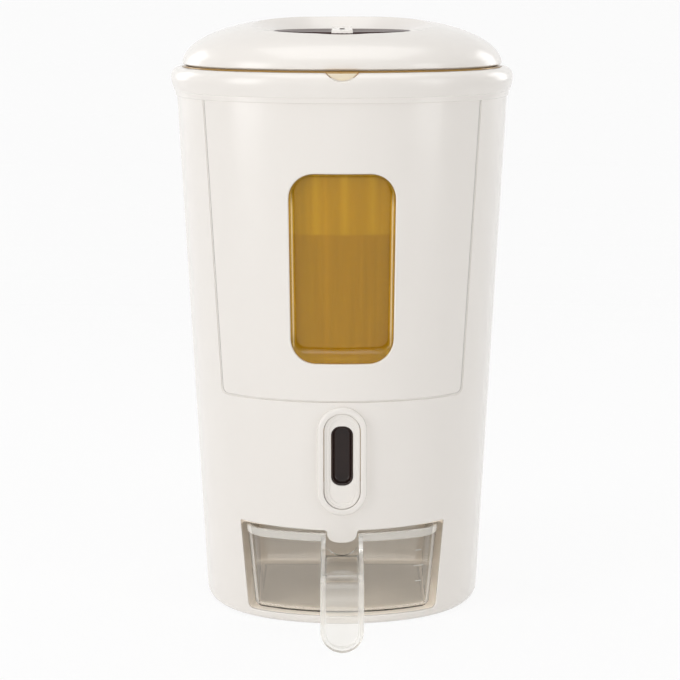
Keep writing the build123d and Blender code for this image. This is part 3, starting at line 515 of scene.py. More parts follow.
def tabbed_mouth(grow):
    """Outline of the drawer's mouth, arched on top, with the small half-round tab left standing there."""
    soft, sharp, top = mouth_corner + grow, mouth_peak + grow, mouth_high + grow
    loop = trapezoid(mouth_half_low + grow, mouth_half_high + grow, mouth_low - grow, top,
                     (soft, soft, sharp, sharp))
    first, last = len(loop) // 2 + corner_steps + 1, len(loop) * 3 // 4
    half, flare = tab_half - grow, tab_flare + grow
    right_side = [(half + less, top - more) for more, less in eased(flare, 6)]
    under = []
    for step in range(1, tab_steps):
        across = math.cos(math.pi * step / tab_steps)
        hang = (1 - abs(across) ** tab_power) ** (1 / tab_power)
        under.append((half * across, top - flare - (tab_depth - tab_flare - grow) * hang))
    tab = right_side + under + [(-x, z) for x, z in reversed(right_side)]
    right = straight(loop[first - 1], tab[0], top_steps)
    left = straight(tab[-1], loop[last], top_steps)
    middle = mouth_high / 2
    return [(x, z + mouth_arch * (x / mouth_half_high) ** 2 * max(0.0, (z - middle) / middle))
            for x, z in loop[:first] + right + tab + left + loop[last:]]


carve(outer_shell, flared_tool("panel_tool", lambda grow: panel_outline(panel_groove + grow)))
carve(outer_shell, flared_tool("mouth_tool", tabbed_mouth))

button_z, bezel_size = 120.5, (78.0, 34.5)
sleeve_step, sleeve_gap, sleeve_reach = 1.7, 0.2, 8


def on_button(loop, rise):
    """A loop on the button's slanted plane, raised outward by `rise`."""
    base = -(half_depth + button_z * slope)
    placed = []
    for x, up in loop:
        y = base - up * math.sin(wall_lean) - rise * math.cos(wall_lean)
        placed.append((x, y, button_z + up * math.cos(wall_lean) - rise * math.sin(wall_lean)))
    return placed


def oval(size, drawn=0.0, lift=0.0, corner=None):
    """Upright oval of a height and a width, drawn in by `drawn`, with half-round ends or smaller corners."""
    top, side = size[0] / 2 - drawn, size[1] / 2 - drawn
    return trapezoid(side, side, lift - top, lift + top, corner or side * 0.9999)


sleeve_hole = oval(bezel_size, sleeve_step - sleeve_gap)
sleeve_ends = [on_button(sleeve_hole, rise) for rise in (-sleeve_reach, sleeve_reach)]
carve(outer_shell, loft("button_tool", sleeve_ends))

lip_reach, lip_thickness = 6.0, 1.6
groove_depth, seam_depth, seam_height, ridge_gap = 0.22, 1.1, 1.5, 0.04


def ridge_loop(grow):
    """Loop on the ridge that closes the groove, lower along the seam under the panel."""
    loop = []
    for x, z in panel_outline(grow):
        seam = max(0.0, 1 - (x / panel_half_low) ** 2) if z < panel_low + seam_height else 0.0
        loop.append(front_point(x, z, groove_depth + seam_depth * seam))
    return loop


lip_loops = [on_panel(lip_reach, wall), on_panel(panel_groove - ridge_gap, wall),
             ridge_loop(panel_groove - ridge_gap), ridge_loop(ridge_gap), on_panel(ridge_gap, wall),
             on_panel(-lip_reach, wall)]
lip_loops += [on_panel(lip_reach * side, wall + lip_thickness) for side in (-1, 0, 1)]
gather(outer_shell, loft("panel_lip", lip_loops, ring=True))
dress(outer_shell, "casing", cream, "outer_shell")


# Front panel: a separate curved plate of the same plastic, flush with the casing, with a softly
# rounded edge along the groove and round the window.
panel_thickness, face_steps = 2.4, 18
window_z, window_width, window_height, window_corner = 255.0, 71.6, 131.0, 17.0
window_round, window_taper = 1.3, 0.7


def window_outline(grow):
    """Front-view outline of the window, grown by `grow`."""
    side, top = window_width / 2 + grow, window_height / 2 + grow
    return trapezoid(side - window_taper, side + window_taper, window_z - top, window_z + top,
                     window_corner + grow)


def on_window(grow, inset):
    """The window's outline, grown by `grow`, on the casing's front face, set in by `inset`."""
    return on_front(window_outline(grow), inset)


panel_loops = [on_panel(0, panel_thickness)] + [on_panel(-more, less) for more, less in eased(edge_round)]
for step in range(1, face_steps + 1):
    face_loop = between(panel_outline(-edge_round), window_outline(window_round), step / face_steps)
    panel_loops.append(on_front(face_loop, 0))
panel_loops += [on_window(less, more) for more, less in eased(window_round)[1:]]
for step in range(face_steps):
    back_loop = between(window_outline(0), panel_outline(0), step / face_steps)
    panel_loops.append(on_front(back_loop, panel_thickness))
dress(loft("front_panel_skin", panel_loops, ring=True), "casing", cream, "front_panel")


# Window pane: one amber see-through moulding, a shallow tray whose border slopes in to a flat
# recessed face, deeper at the sill, with a flange clipped behind the panel.
pane_gap, pane_recess, pane_tray, pane_flange, pane_skin = 0.3, 0.6, 4.6, 4.0, 1.6
pane_side, pane_sill, pane_head, tray_corner, sill_corner = 3.4, 11.0, 2.2, 12.0, 7.0
pane_steps = 14
tray_low = window_z - window_height / 2 + pane_sill
tray_high = window_z + window_height / 2 - pane_head
tray_z = (tray_low + tray_high) / 2


def tray_outline(grow, share=1.0):
    """Front-view outline of the pane's recessed face, grown or drawn in towards its middle."""
    side, top = window_width / 2 - pane_side + grow, (tray_high - tray_low) / 2 + grow
    sill, head = sill_corner + grow, tray_corner + grow
    outline = trapezoid(side - window_taper, side + window_taper, tray_z - top, tray_z + top,
                        (sill, sill, head, head))
    return [(x * share, tray_z + (z - tray_z) * share) for x, z in outline]


face_depth, flange_back = pane_recess + pane_tray, wall + lip_thickness
pane_loops = []
for step in range(1, pane_steps + 1):
    pane_loops.append(on_front(tray_outline(1.0, step / pane_steps), face_depth + pane_skin))
for grow, depth in ((-1.2, flange_back), (pane_flange, flange_back), (pane_flange, wall), (-pane_gap, wall),
                    (-pane_gap, pane_recess + 0.7)):
    pane_loops.append(on_window(grow, depth))
border_profile = ((0.04, 0.35), (0.10, 0.12), (0.20, 0.0), (0.32, 0.08), (0.44, 0.4), (0.56, 1.1), (0.68, 2.1),
                  (0.78, 3.3), (0.86, 4.3), (0.92, 5.2), (0.96, 5.4), (0.985, 5.1), (1.0, pane_tray))
for share, depth in border_profile:
    border = between(window_outline(-pane_gap), tray_outline(0), share)
    pane_loops.append(on_front(border, pane_recess + depth))
for step in range(pane_steps - 1, 0, -1):
    pane_loops.append(on_front(tray_outline(0, step / pane_steps), face_depth))


def amber_plastic(name, colour, clear, glow):
    """Tinted plastic, partly see-through, with faint upright streaks in its colour and roughness; `glow` makes
    it shine with its own tint, painted light.
    """
    finish = Finish(name, {"IOR": 1.47, "Transmission Weight": clear, "Specular IOR Level": 0.35,
                           "Emission Strength": glow})
    tint = finish.mottle(toned(colour, 0.86), colour, (240, 2, (1, 1, 0.02)), 0.05, 0.06)
    finish.feed("Emission Color", tint)
    finish.light_through(colour)
    return finish, tint


# Painted highlight: a narrow upright strip near each side of the pane's tray is made pale and glows, standing
# for light caught on the tray's side slopes.
highlight_inner, highlight_outer, highlight_soft = window_width / 2 - 2.7, window_width / 2 - 1.2, 0.5
highlight_ends = (195, 215, 296, 310)
amber_pane, pane_tint = amber_plastic("amber_pane", (220, 189, 46), 0.76, 0.4)
pane_up = amber_pane.along("Z")
leaning = (pane_up - window_z * MM) * (2 * window_taper / window_height)
off_centre = abs(amber_pane.along("X")) - leaning
highlight_sides = (highlight_inner, highlight_inner + highlight_soft, highlight_outer - highlight_soft, highlight_outer)
edge_highlight = amber_pane.hill(off_centre, *highlight_sides) * amber_pane.hill(pane_up, *highlight_ends)
amber_pane.feed("Base Color", amber_pane.blend(edge_highlight, pane_tint, (250, 236, 200)))
amber_pane.feed("Emission Color", amber_pane.blend(edge_highlight, (0, 0, 0), (240, 215, 165)))
dress(loft("window_pane_skin", pane_loops), "casing", amber_pane, "window_pane")


# Hopper bucket: a lift-out amber bucket that hangs by its rim in the collar; its floor slopes to a
# short neck over the gate, and its rim is the gold line under the lid.
bucket_inset, bucket_wall = 9.0, 2.2
hopper_top, hopper_low, neck_low, hopper_steps = 168.0, 98.0, 90.0, 12
outlet_growth, outlet_y = -74.0, -34.0
rim_ledge, bucket_top, rim_growth, rim_round = 386.8, 389.2, 14.0, 0.8


def bucket_growth(height):
    """Growth of the bucket's outside at a height."""
    return height * slope - bucket_inset


def hopper_loops(thinner, order):
    """Loops of the sloping floor, from the neck up to the walls."""
    narrow = plan_loop(outlet_growth - thinner, hopper_low, outlet_y)
    wide = plan_loop(bucket_growth(hopper_top) - thinner, hopper_top)
    return [between(narrow, wide, step / hopper_steps) for step in order]


inner_growth = bucket_growth(bucket_top) - bucket_wall
rim_profile = [(bucket_growth(rim_ledge), rim_ledge), (rim_growth - rim_round, rim_ledge)]
rim_profile += [(rim_growth - more, bucket_top - less) for more, less in eased(rim_round)]
rim_profile += [(inner_growth + less, bucket_top - more) for more, less in eased(rim_round)]
bucket_loops = [plan_loop(outlet_growth, neck_low, outlet_y)] + hopper_loops(0, range(hopper_steps + 1))
bucket_loops += plan_loops(rim_profile) + hopper_loops(bucket_wall, range(hopper_steps, -1, -1))
bucket_loops.append(plan_loop(outlet_growth - bucket_wall, neck_low, outlet_y))
inner_bucket = loft("inner_bucket_skin", bucket_loops, ring=True)

notch_radius, notch_bottom = 13.75, 382.7
lift_radius, lift_front, lift_thickness, lift_steps = notch_radius - 0.4, 19.6, 4.0, 24
lift_edge = ((0, lift_thickness + 2), (0, 0.8), (0.25, 0.25), (0.8, 0))


def lift_loop(drawn, y):
    """Half-round outline of the rim's lifting tab, drawn in by `drawn`, on an upright plane."""
    reach, centre = lift_radius - drawn, notch_bottom + notch_radius
    swing = math.acos((centre - bucket_top + 0.3 + drawn) / reach) / lift_steps
    return [(reach * math.sin(swing * step), y, centre - reach * math.cos(swing * step))
            for step in range(-lift_steps, lift_steps + 1)]


lift_y = -half_depth - lift_front
gather(inner_bucket, loft("lifting_tab", [lift_loop(drawn, lift_y + back) for drawn, back in lift_edge]))

# Painted light on the bucket: a paler band above 278 mm and three pale upright streaks on the upper front wall
# stand for light seen through the window; the rim's top is painted darker, painted shade under the lid; and the
# bucket glows with its paler tint, painted light, except towards the top, where the lid shades it.
tone_low, tone_high = 277.5, 279.0
streak_places, streak_half, streak_share = (-17.6, 2.0, 21.0), 4.5, 0.9
amber_bucket, bucket_tint = amber_plastic("amber_bucket", (213, 170, 42), 0.2, 0.22)
bucket_across, bucket_back, bucket_up = (amber_bucket.along(axis) for axis in "XYZ")
lit_upper_band = amber_bucket.ramp(bucket_up, tone_low, tone_high)
light_streaks = 0
for place in streak_places:
    light_streak = amber_bucket.hill(bucket_across, place - streak_half, place, place, place + streak_half)
    light_streaks = light_streak + light_streaks
front_wall = 1 - amber_bucket.ramp(bucket_back, -60, -50)
tab_zone = 1 - amber_bucket.ramp(bucket_back, -112.5, -111.5)
rim_shade = amber_bucket.ramp(bucket_up, 387.8, 388.2)
unlit_under_lid = amber_bucket.ramp(bucket_up, 370, 380)
lighter = amber_bucket.blend(lit_upper_band, bucket_tint, (223, 200, 74))
lighter = amber_bucket.blend(lit_upper_band * light_streaks * front_wall * streak_share, lighter, (246, 234, 172))
tabbed = amber_bucket.blend(tab_zone, lighter, (250, 240, 218))
amber_bucket.feed("Base Color", amber_bucket.blend(rim_shade, tabbed, (190, 152, 84)))
amber_bucket.feed("Emission Color", amber_bucket.blend(unlit_under_lid, lighter, (0, 0, 0)))
dress(inner_bucket, "casing", amber_bucket, "inner_bucket")


# Top collar: a flared cream ring pressed over the casing's top edge, with a fine stepped line near
# its lower edge, a half-round finger notch in front and three hinge ears behind.
collar_low, collar_step, collar_top = 368.0, 371.8, 388.2
collar_growth, collar_round, collar_steps, seat_gap = 22.6, 6.5, 8, 0.2
band_growth = collar_low * slope + 1.0
flare_growth, flare_low = band_growth + 1.15, collar_step + 0.5
ledge_growth, mouth_growth = rim_growth + 0.3, bucket_growth(rim_ledge) + 0.6
collar_profile = [(collar_low * slope + seat_gap, collar_low), (band_growth - 0.4, collar_low),
                  (band_growth, collar_low + 0.4), (band_growth + 0.2, collar_step - 0.2),
                  (band_growth + 0.35, collar_step), (band_growth + 0.9, collar_step + 0.15),
                  (flare_growth, flare_low)]
for step in range(1, collar_steps + 1):
    share = step / collar_steps
    collar_profile.append((flare_growth + (collar_growth - flare_growth) * math.sin(share * math.pi / 2),
                           flare_low + (collar_top - collar_round - flare_low) * share))
collar_profile += [(collar_growth - more, collar_top - less) for more, less in eased(collar_round, 8)[1:]]
collar_profile += [(ledge_growth + 0.4, collar_top), (ledge_growth, collar_top - 0.4),
                   (ledge_growth, rim_ledge), (mouth_growth, rim_ledge), (mouth_growth, casing_top),
                   (casing_top * slope + seat_gap, casing_top)]
top_collar = loft("top_collar_skin", plan_loops(collar_profile), ring=True)


def circle(radius, count):
    """Points round a circle about the origin."""
    turn = [2 * math.pi * step / count for step in range(count)]
    return [(radius * math.cos(angle), radius * math.sin(angle)) for angle in turn]


notch_face, notch_z = -(half_depth + collar_growth), notch_bottom + notch_radius
notch_loops = []
for y, flare in ((-1.6 * half_depth, 0.9), (notch_face - 0.3, 0.9), (notch_face + 0.2, 0.35),
                 (notch_face + 0.9, 0.0), (-(half_depth + rim_growth), 0.0)):
    notch_loops.append([(x, y, notch_z + z) for x, z in circle(notch_radius + flare, 96)])
carve(top_collar, loft("notch_tool", notch_loops))

hinge_y, hinge_z, knuckle_radius = 124.5, 391.5, 4.5
knuckle_start, knuckle_end, ear_gap, ear_end = 10.0, 22.0, 0.3, 29.9
bracket_low, bracket_root, bracket_foot, bracket_head = 376.0, hinge_y - 7.2, hinge_y - 2.2, hinge_y + 4.3


def side_loop(loop, x):
    """A side-view loop on an upright plane."""
    return [(x, y, z) for y, z in loop]


def barrel(name, low, high, radius):
    """Hinge barrel about the pin's axis, with softly broken end edges."""
    loops = []
    for x, reach in ((low, radius - 0.5), (low + 0.15, radius - 0.15), (low + 0.5, radius),
                     (high - 0.5, radius), (high - 0.15, radius - 0.15), (high, radius - 0.5)):
        loops.append([(x, hinge_y + y, hinge_z + z) for y, z in circle(reach, 48)])
    return loft(name, loops)


def side_plate(name, corners, low, high, ease=0.4):
    """Plate with a side-view outline of four corners, between two x places, with eased edges."""
    inner = rounded(corners, 1.0 - ease / 2, 6, 4)
    outer = rounded(corners, 1.0, 6, 4)
    middle = [(sum(y for y, z in corners) / 4, sum(z for y, z in corners) / 4)] * len(inner)
    drawn = between(middle, inner, 0.94)
    stack = ((drawn, low), (outer, low + ease), (outer, high - ease), (drawn, high))
    return loft(name, [side_loop(loop, x) for loop, x in stack])


bracket = [(bracket_root, bracket_low), (bracket_foot, bracket_low), (bracket_head, hinge_z),
           (bracket_root, hinge_z)]
ear_inner, ear_outer = knuckle_start - ear_gap, knuckle_end + ear_gap
for low, high in ((-ear_end, -ear_outer), (-ear_inner, ear_inner), (ear_outer, ear_end)):
    gather(top_collar, barrel("ear", low, high, knuckle_radius), side_plate("bracket", bracket, low, high))
dress(top_collar, "casing", cream, "top_collar")


# Lid: a thin cream moulded dome with a round scoop for the dial and a shallow dish round it. It
# swings on two knuckles at the back.
lid_low, lid_growth, lid_height, lid_run, lid_wall = 390.2, 14.5, 32.5, 88.0, 2.4
dial_y, dial_radius, dial_gap = -38.0, 48.0, 0.4
well_floor, well_skin, well_wall, well_edge = 411.0, 2.4, 30.0, 2.5
dish_front, dish_back, dish_rises = 0.12, 0.9, (0, 1, 2, 4, 7, 11)
lid_steps, lid_ease, disc_steps = 40, 0.9, 128
arm_low, arm_high = 390.6, 395.9


def dome_profile(growth, height, run, first=0.0):
    """Growths that shrink upward along a quarter of an ellipse."""
    return [(growth - run * (1 - math.cos(angle)), lid_low + height * math.sin(angle))
            for angle in quarter(lid_steps, first)]


def disc_loop(radius, height, count=disc_steps, middle=dial_y):
    """Circle at a height, about the dial's axis or about another place."""
    return [(x, middle + y, height) for x, y in circle(radius, count)]


lid_profile = [(lid_growth - less, lid_low + more) for more, less in eased(lid_ease)]
lid_profile += dome_profile(lid_growth, lid_height, lid_run, math.asin(lid_ease / lid_height) + 0.03)
lid_shell = loft("lid_shell_skin", plan_loops(lid_profile))

cavity_growth = lid_growth - lid_wall
cavity_profile = [(cavity_growth, lid_low - 4)]
cavity_profile += dome_profile(cavity_growth, lid_height - lid_wall, lid_run - lid_wall)
cavity = loft("cavity_tool", plan_loops(cavity_profile))
well_radius = dial_radius + dial_gap
post_ends = (well_floor - well_skin, well_floor + lid_height)
well_post = [disc_loop(well_radius + well_wall, height) for height in post_ends]
carve(cavity, loft("well_post", well_post))
carve(lid_shell, cavity)


def dish_loop(rise, lift=0.0):
    """Edge of the dish round the dial at a rise: shallow in front, steeper towards the back."""
    loop = []
    for step in range(disc_steps):
        turn = 2 * math.pi * step / disc_steps
        steep = dish_front + (dish_back - dish_front) * ((1 + math.sin(turn)) / 2) ** 2
        reach = well_radius + 0.5 + rise / steep
        loop.append((reach * math.cos(turn), dial_y + reach * math.sin(turn),
                     well_floor + well_edge + rise + lift))
    return loop


scoop_loops = []
for out, up in ((-1.0, 0), (-0.3, 0.3), (0, 1.0), (0, well_edge - 0.5), (0.15, well_edge - 0.15)):
    scoop_loops.append(disc_loop(well_radius + out, well_floor + up))
scoop_loops += [dish_loop(rise) for rise in dish_rises]
scoop_loops.append(dish_loop(dish_rises[-1], lid_height))
carve(lid_shell, loft("scoop_tool", scoop_loops))
arm_root = half_depth + cavity_growth + 0.2
arm = [(arm_root, arm_low), (hinge_y, arm_low), (hinge_y, arm_high), (arm_root, arm_high)]
for low, high in ((-knuckle_end, -knuckle_start), (knuckle_start, knuckle_end)):
    gather(lid_shell, barrel("knuckle", low, high, knuckle_radius), side_plate("arm", arm, low, high))
dress(lid_shell, "lid", cream, "lid_shell")


# Dial: a smoked brown cap that turns in the lid's scoop, dished on top, with a cream grip bar let
# into it and a small dark pointer pip near the front.
dial_low, dial_top, dial_dish, dial_rim, dial_ease = 411.3, 414.4, 1.5, 3.0, 0.9
spindle_radius, spindle_low, cap_steps = 6.0, 406.3, 13
dish_radius = dial_radius - dial_rim
cap_profile = [(spindle_radius, spindle_low), (spindle_radius, dial_low), (dial_radius - 0.5, dial_low),
               (dial_radius, dial_low + 0.5)]
cap_profile += [(dial_radius - more, dial_top - less) for more, less in eased(dial_ease)]
for step in range(cap_steps):
    reach = dish_radius * (1 - step / cap_steps)
    cap_profile.append((reach, dial_top - dial_dish * (1 - (reach / dish_radius) ** 2)))
cap_loops = [disc_loop(radius, height, 96) for radius, height in cap_profile]


def smoked_plastic(name, colour, specular, gloss):
    """Dark brown polished plastic with a soft depth under its gloss."""
    finish = Finish(name, {"IOR": 1.5, "Specular IOR Level": specular})
    finish.mottle(colour, toned(colour, 1.25), (60, 2), gloss, 0.05)
    return finish


dial_smoke = smoked_plastic("smoked_dial", (54, 37, 36), 0.06, 0.26)
dress(loft("dial_cap_skin", cap_loops), "dial", dial_smoke, "dial_cap")

grip_half, grip_low, grip_top, grip_round = 7.2, 412.3, 415.9, 0.6
grip_reach = dial_radius - 0.05
end_steps, bar_steps = 16, 24


def grip_loop(inset, height):
    """Outline of the grip bar: straight sides and ends that follow the cap's edge."""
    half, reach = grip_half - inset, grip_reach - inset
    swing = math.asin(half / reach)
    loop = []
    for facing in (-math.pi / 2, math.pi / 2):
        for step in range(end_steps + 1):
            angle = facing - swing + 2 * swing * step / end_steps
            loop.append((reach * math.cos(angle), dial_y + reach * math.sin(angle), height))
        x, y, _ = loop[-1]
        loop += straight(loop[-1], (x, 2 * dial_y - y, height), bar_steps)
    return loop


grip_loops = [grip_loop(0, grip_low)] + [grip_loop(more, grip_top - less) for more, less in eased(grip_round)]
dial_grip = loft("dial_grip_skin", grip_loops)
socket_radius, socket_depth, pointer_y, pointer_steps = 1.9, 1.0, dial_y - 26.0, 48
socket_ends = (grip_top - socket_depth, grip_top + socket_depth)
pointer_socket = [disc_loop(socket_radius, height, pointer_steps, pointer_y) for height in socket_ends]
carve(dial_grip, loft("pointer_tool", pointer_socket))
dress(dial_grip, "dial", cream, "dial_grip")

pointer_radius, pointer_proud, pointer_round = 1.85, 0.6, 0.4
dot_finish = Finish("pointer_paint", {"Coat Weight": 0.1})
dot_finish.mottle((60, 50, 46), (74, 62, 56), (900,), 0.4, 0.15, (1200,))
pip_profile = [(pointer_radius, grip_top - socket_depth)]
pip_profile += [(pointer_radius - more, grip_top + pointer_proud - less) for more, less in eased(pointer_round)]
pip_loops = [disc_loop(radius, height, pointer_steps, pointer_y) for radius, height in pip_profile]
dress(loft("dial_pointer_pip", pip_loops), "dial", dot_finish, "dial_pointer")


# Push button: a raised oval ring clipped through the casing, a stepped press plate inside it and a
# deep smoked finger recess in the plate.
bezel_proud, bezel_round, hole_round, sleeve_depth = 3.0, 2.2, 0.9, 9.0
plate_size, hole_size = (68.4, 25.0), (69.0, 25.6)
plate_proud, plate_back, plate_soft = 1.6, 3.5, 0.45
plate_step, step_inset, face_rings = 0.6, 2.0, 6
slot_size, slot_lift, slot_corner = (42.6, 15.2), 3.8, 6.5
recess_depth, recess_wall, floor_round = 5.5, 1.2, 2.6


def oval_loops(size, profile):
    """Loops of an oval on the button's plane for pairs of draw and rise."""
    return [on_button(oval(size, drawn), rise) for drawn, rise in profile]


bezel_profile = [(sleeve_step, -sleeve_depth), (sleeve_step, -2.4), (0, -2.0)]
bezel_profile += [(more, bezel_proud - less) for more, less in eased(bezel_round, 6)]
hole_profile = [(-less, bezel_proud - more) for more, less in eased(hole_round)] + [(0, -sleeve_depth)]
bezel_loops = oval_loops(bezel_size, bezel_profile) + oval_loops(hole_size, hole_profile)
dress(loft("button_bezel_skin", bezel_loops, ring=True), "casing", cream, "button_bezel")


def slot_oval(drawn):
    """Outline of the finger slot, drawn in by `drawn`."""
    return oval(slot_size, drawn, slot_lift, slot_corner - drawn)


plate_profile = [(0, -plate_back)] + [(more, plate_proud - less) for more, less in eased(plate_soft)]
for step in (1, 2):
    level = plate_proud - step * plate_step
    for angle in quarter():
        plate_profile.append((step * step_inset - plate_soft * math.cos(angle),
                              level + plate_step * (1 - math.sin(angle))))
plate_loops = oval_loops(plate_size, plate_profile)
face_level = plate_proud - 2 * plate_step
for step in range(1, face_rings + 1):
    face_ring = between(oval(plate_size, 2 * step_inset), slot_oval(-0.5), step / face_rings)
    plate_loops.append(on_button(face_ring, face_level))
for drawn, rise in ((-0.15, face_level - 0.15), (0, face_level - 0.5), (0, -plate_back)):
    plate_loops.append(on_button(slot_oval(drawn), rise))
dress(loft("button_plate_skin", plate_loops, ring=True), "button", cream, "button_plate")

insert_front = face_level - 0.2
insert_profile = [(0.1, -recess_depth - recess_wall), (0.1, -0.3), (0.4, 0), (recess_wall - 0.3, 0),
                  (recess_wall + 0.1, -0.4)]
insert_profile += [(recess_wall + 0.1 + more, less - recess_depth) for more, less in eased(floor_round, 5)]
insert_loops = [on_button(slot_oval(drawn), insert_front + rise) for drawn, rise in insert_profile]
recess_smoke = smoked_plastic("smoked_recess", (40, 28, 25), 0.3, 0.08)
dress(loft("button_insert_skin", insert_loops), "button", recess_smoke, "button_insert")


# Measuring cup: one clear moulding that slides into the bay, with a thick rim band, a half-round
# notch in front and a flanged handle that bends down to a rounded tip.
cup_low, cup_top, cup_half, cup_rear = 7.3, 67.5, 62.0, 33.0
cup_draft = math.tan(math.radians(5.31))
cup_wall, rim_band, rim_proud, cup_recess = 2.0, 6.0, 1.0, 1.5
cup_corner, bottom_round, lip_ease, bow_fade, cup_steps = 6.0, 5.0, 0.9, 40, 6
cup_front = half_depth + cup_top * slope - cup_recess - (cup_top - cup_low) * cup_draft
rim_low, floor_z, inner_round = cup_top - rim_band, cup_low + cup_wall, bottom_round - cup_wall + 1


def cup_loop(growth, height):
    """Plan of the cup: a front that follows the casing's curve, straight sides, a rounded back."""
    half, front, rear = cup_half + growth, cup_front + growth, cup_rear + growth
    bow = face_y + front
    side_y = face_y - math.sqrt(bow ** 2 - half ** 2)
    loop = []
    for x, y in trapezoid(half, half, side_y, rear, cup_corner + growth, 24, 8):
        swell = math.sqrt(bow ** 2 - min(abs(x), half) ** 2) - math.sqrt(bow ** 2 - half ** 2)
        loop.append((x, y - swell * max(0.0, min(1.0, (side_y + bow_fade - y) / bow_fade)), height))
    return loop


def cup_growth(height):
    """Growth of the cup's outside at a height."""
    return (height - cup_low) * cup_draft


foot_growth, top_growth = cup_growth(cup_low + bottom_round), cup_growth(cup_top)
floor_growth = cup_growth(floor_z + inner_round) - cup_wall
cup_profile = [(foot_growth - less, cup_low + more) for more, less in eased(bottom_round, 6)]
for step in range(1, cup_steps + 1):
    height = cup_low + bottom_round + (rim_low - cup_low - bottom_round) * step / cup_steps
    cup_profile.append((cup_growth(height), height))
cup_profile += [(cup_growth(rim_low) + 0.3, rim_low + 0.15), (cup_growth(rim_low) + rim_proud, rim_low + 0.9)]
cup_profile += [(top_growth + rim_proud - more, cup_top - less) for more, less in eased(lip_ease)]
cup_profile += [(top_growth - cup_wall + less, cup_top - more) for more, less in eased(lip_ease)]
cup_profile += [(floor_growth - more, floor_z + less) for more, less in eased(inner_round, 6)]
measuring_cup = loft("measuring_cup_skin", [cup_loop(growth, height) for growth, height in cup_profile])

handle_width, handle_flange, handle_web, handle_depth = 29.4, 3.2, 2.4, 7.4
handle_z, handle_front, handle_bend, handle_tip = 50.0, -160.0, 16.0, 3.0
handle_root = cup_wall / 2 - cup_front - cup_growth(handle_z)
bend_run, bend_power = 19.4, 2.5
level_steps, bend_steps, drop_steps = 6, 24, 40


def handle_path(tip):
    """Stations along the handle, each a place and its outward direction, from the cup to the tip."""
    level, bend_low = handle_front + bend_run, handle_z - bend_run
    stations = []
    for step in range(level_steps + 1):
        stations.append(((handle_root + (level - handle_root) * step / level_steps, handle_z), (0, 1)))
    for angle in quarter(bend_steps)[1:]:
        run, rise = math.sin(angle) ** (2 / bend_power), max(0.0, math.cos(angle)) ** (2 / bend_power)
        ahead, up = run ** (bend_power - 1), rise ** (bend_power - 1)
        lean = math.hypot(ahead, up)
        stations.append(((level - bend_run * run, bend_low + bend_run * rise), (-ahead / lean, up / lean)))
    for step in range(1, drop_steps + 1):
        fall = math.sin(math.pi / 2 * step / drop_steps)
        stations.append(((handle_front, bend_low - (bend_low - tip) * fall), (-1, 0)))
    return stations


def handle_strip(name, width, low, high, tip, ease):
    """Strip that follows the handle's path and ends in a half round."""
    loops = []
    for (y, z), (out_y, out_z) in handle_path(tip):
        half = width / 2
        short = max(0.0, tip + half - z)
        if short > 0:
            half = math.sqrt(max(half ** 2 - short ** 2, 0.09))
        section = trapezoid(half, half, low, high, min(ease, half * 0.98), 5, 4)
        loops.append([(x, y + out_y * up, z + out_z * up) for x, up in section])
    return loft(name, loops)


web_face, flange_face = handle_web / 2, handle_depth - handle_web / 2
handle = handle_strip("handle", handle_width, -web_face, flange_face, handle_tip, 1.1)
carve(handle, handle_strip("pocket_tool", handle_width - 2 * handle_flange, web_face, handle_depth + 3,
                           handle_tip + handle_flange, 1.0))
carve(measuring_cup, handle, "UNION")

notch_half, rail_top = handle_width / 2 - handle_flange, 66.0
bend_y, bend_z, bend_reach = handle_front + handle_bend, handle_z - handle_bend, handle_bend + flange_face
rail_run, rail_fall = handle_root - bend_y, rail_top - bend_z
rail_turn = abs(math.asin(bend_reach / math.hypot(rail_run, rail_fall)) - math.atan2(rail_fall, rail_run))
rail_end = bend_y - bend_reach * math.sin(rail_turn)
rail_foot = bend_z + bend_reach * math.cos(rail_turn) - 0.2
rail_profile = [(handle_root, handle_z), (handle_root, rail_top), (rail_end, rail_foot), (rail_end, handle_z)]
for low in (-handle_width / 2 + 0.2, notch_half + 0.1):
    rail = [side_loop(rail_profile, x) for x in (low, low + handle_flange - 0.3)]
    carve(measuring_cup, loft("rail", rail), "UNION")

notch_low, notch_straight, notch_steps = 51.2, 59.0, 24
notch_arc = (notch_half ** 2 + (notch_straight - notch_low) ** 2) / (2 * (notch_straight - notch_low))
notch_swing = math.asin(notch_half / notch_arc)
notch_loop = []
for step in range(notch_steps + 1):
    angle = -notch_swing + 2 * notch_swing * step / notch_steps
    notch_loop.append((notch_arc * math.sin(angle), notch_low + notch_arc * (1 - math.cos(angle))))
notch_loop += [(notch_half, cup_top + 3), (-notch_half, cup_top + 3)]
carve(measuring_cup, loft("cup_notch_tool", [flat_loop(notch_loop, back - cup_front) for back in (-10, 4)]))


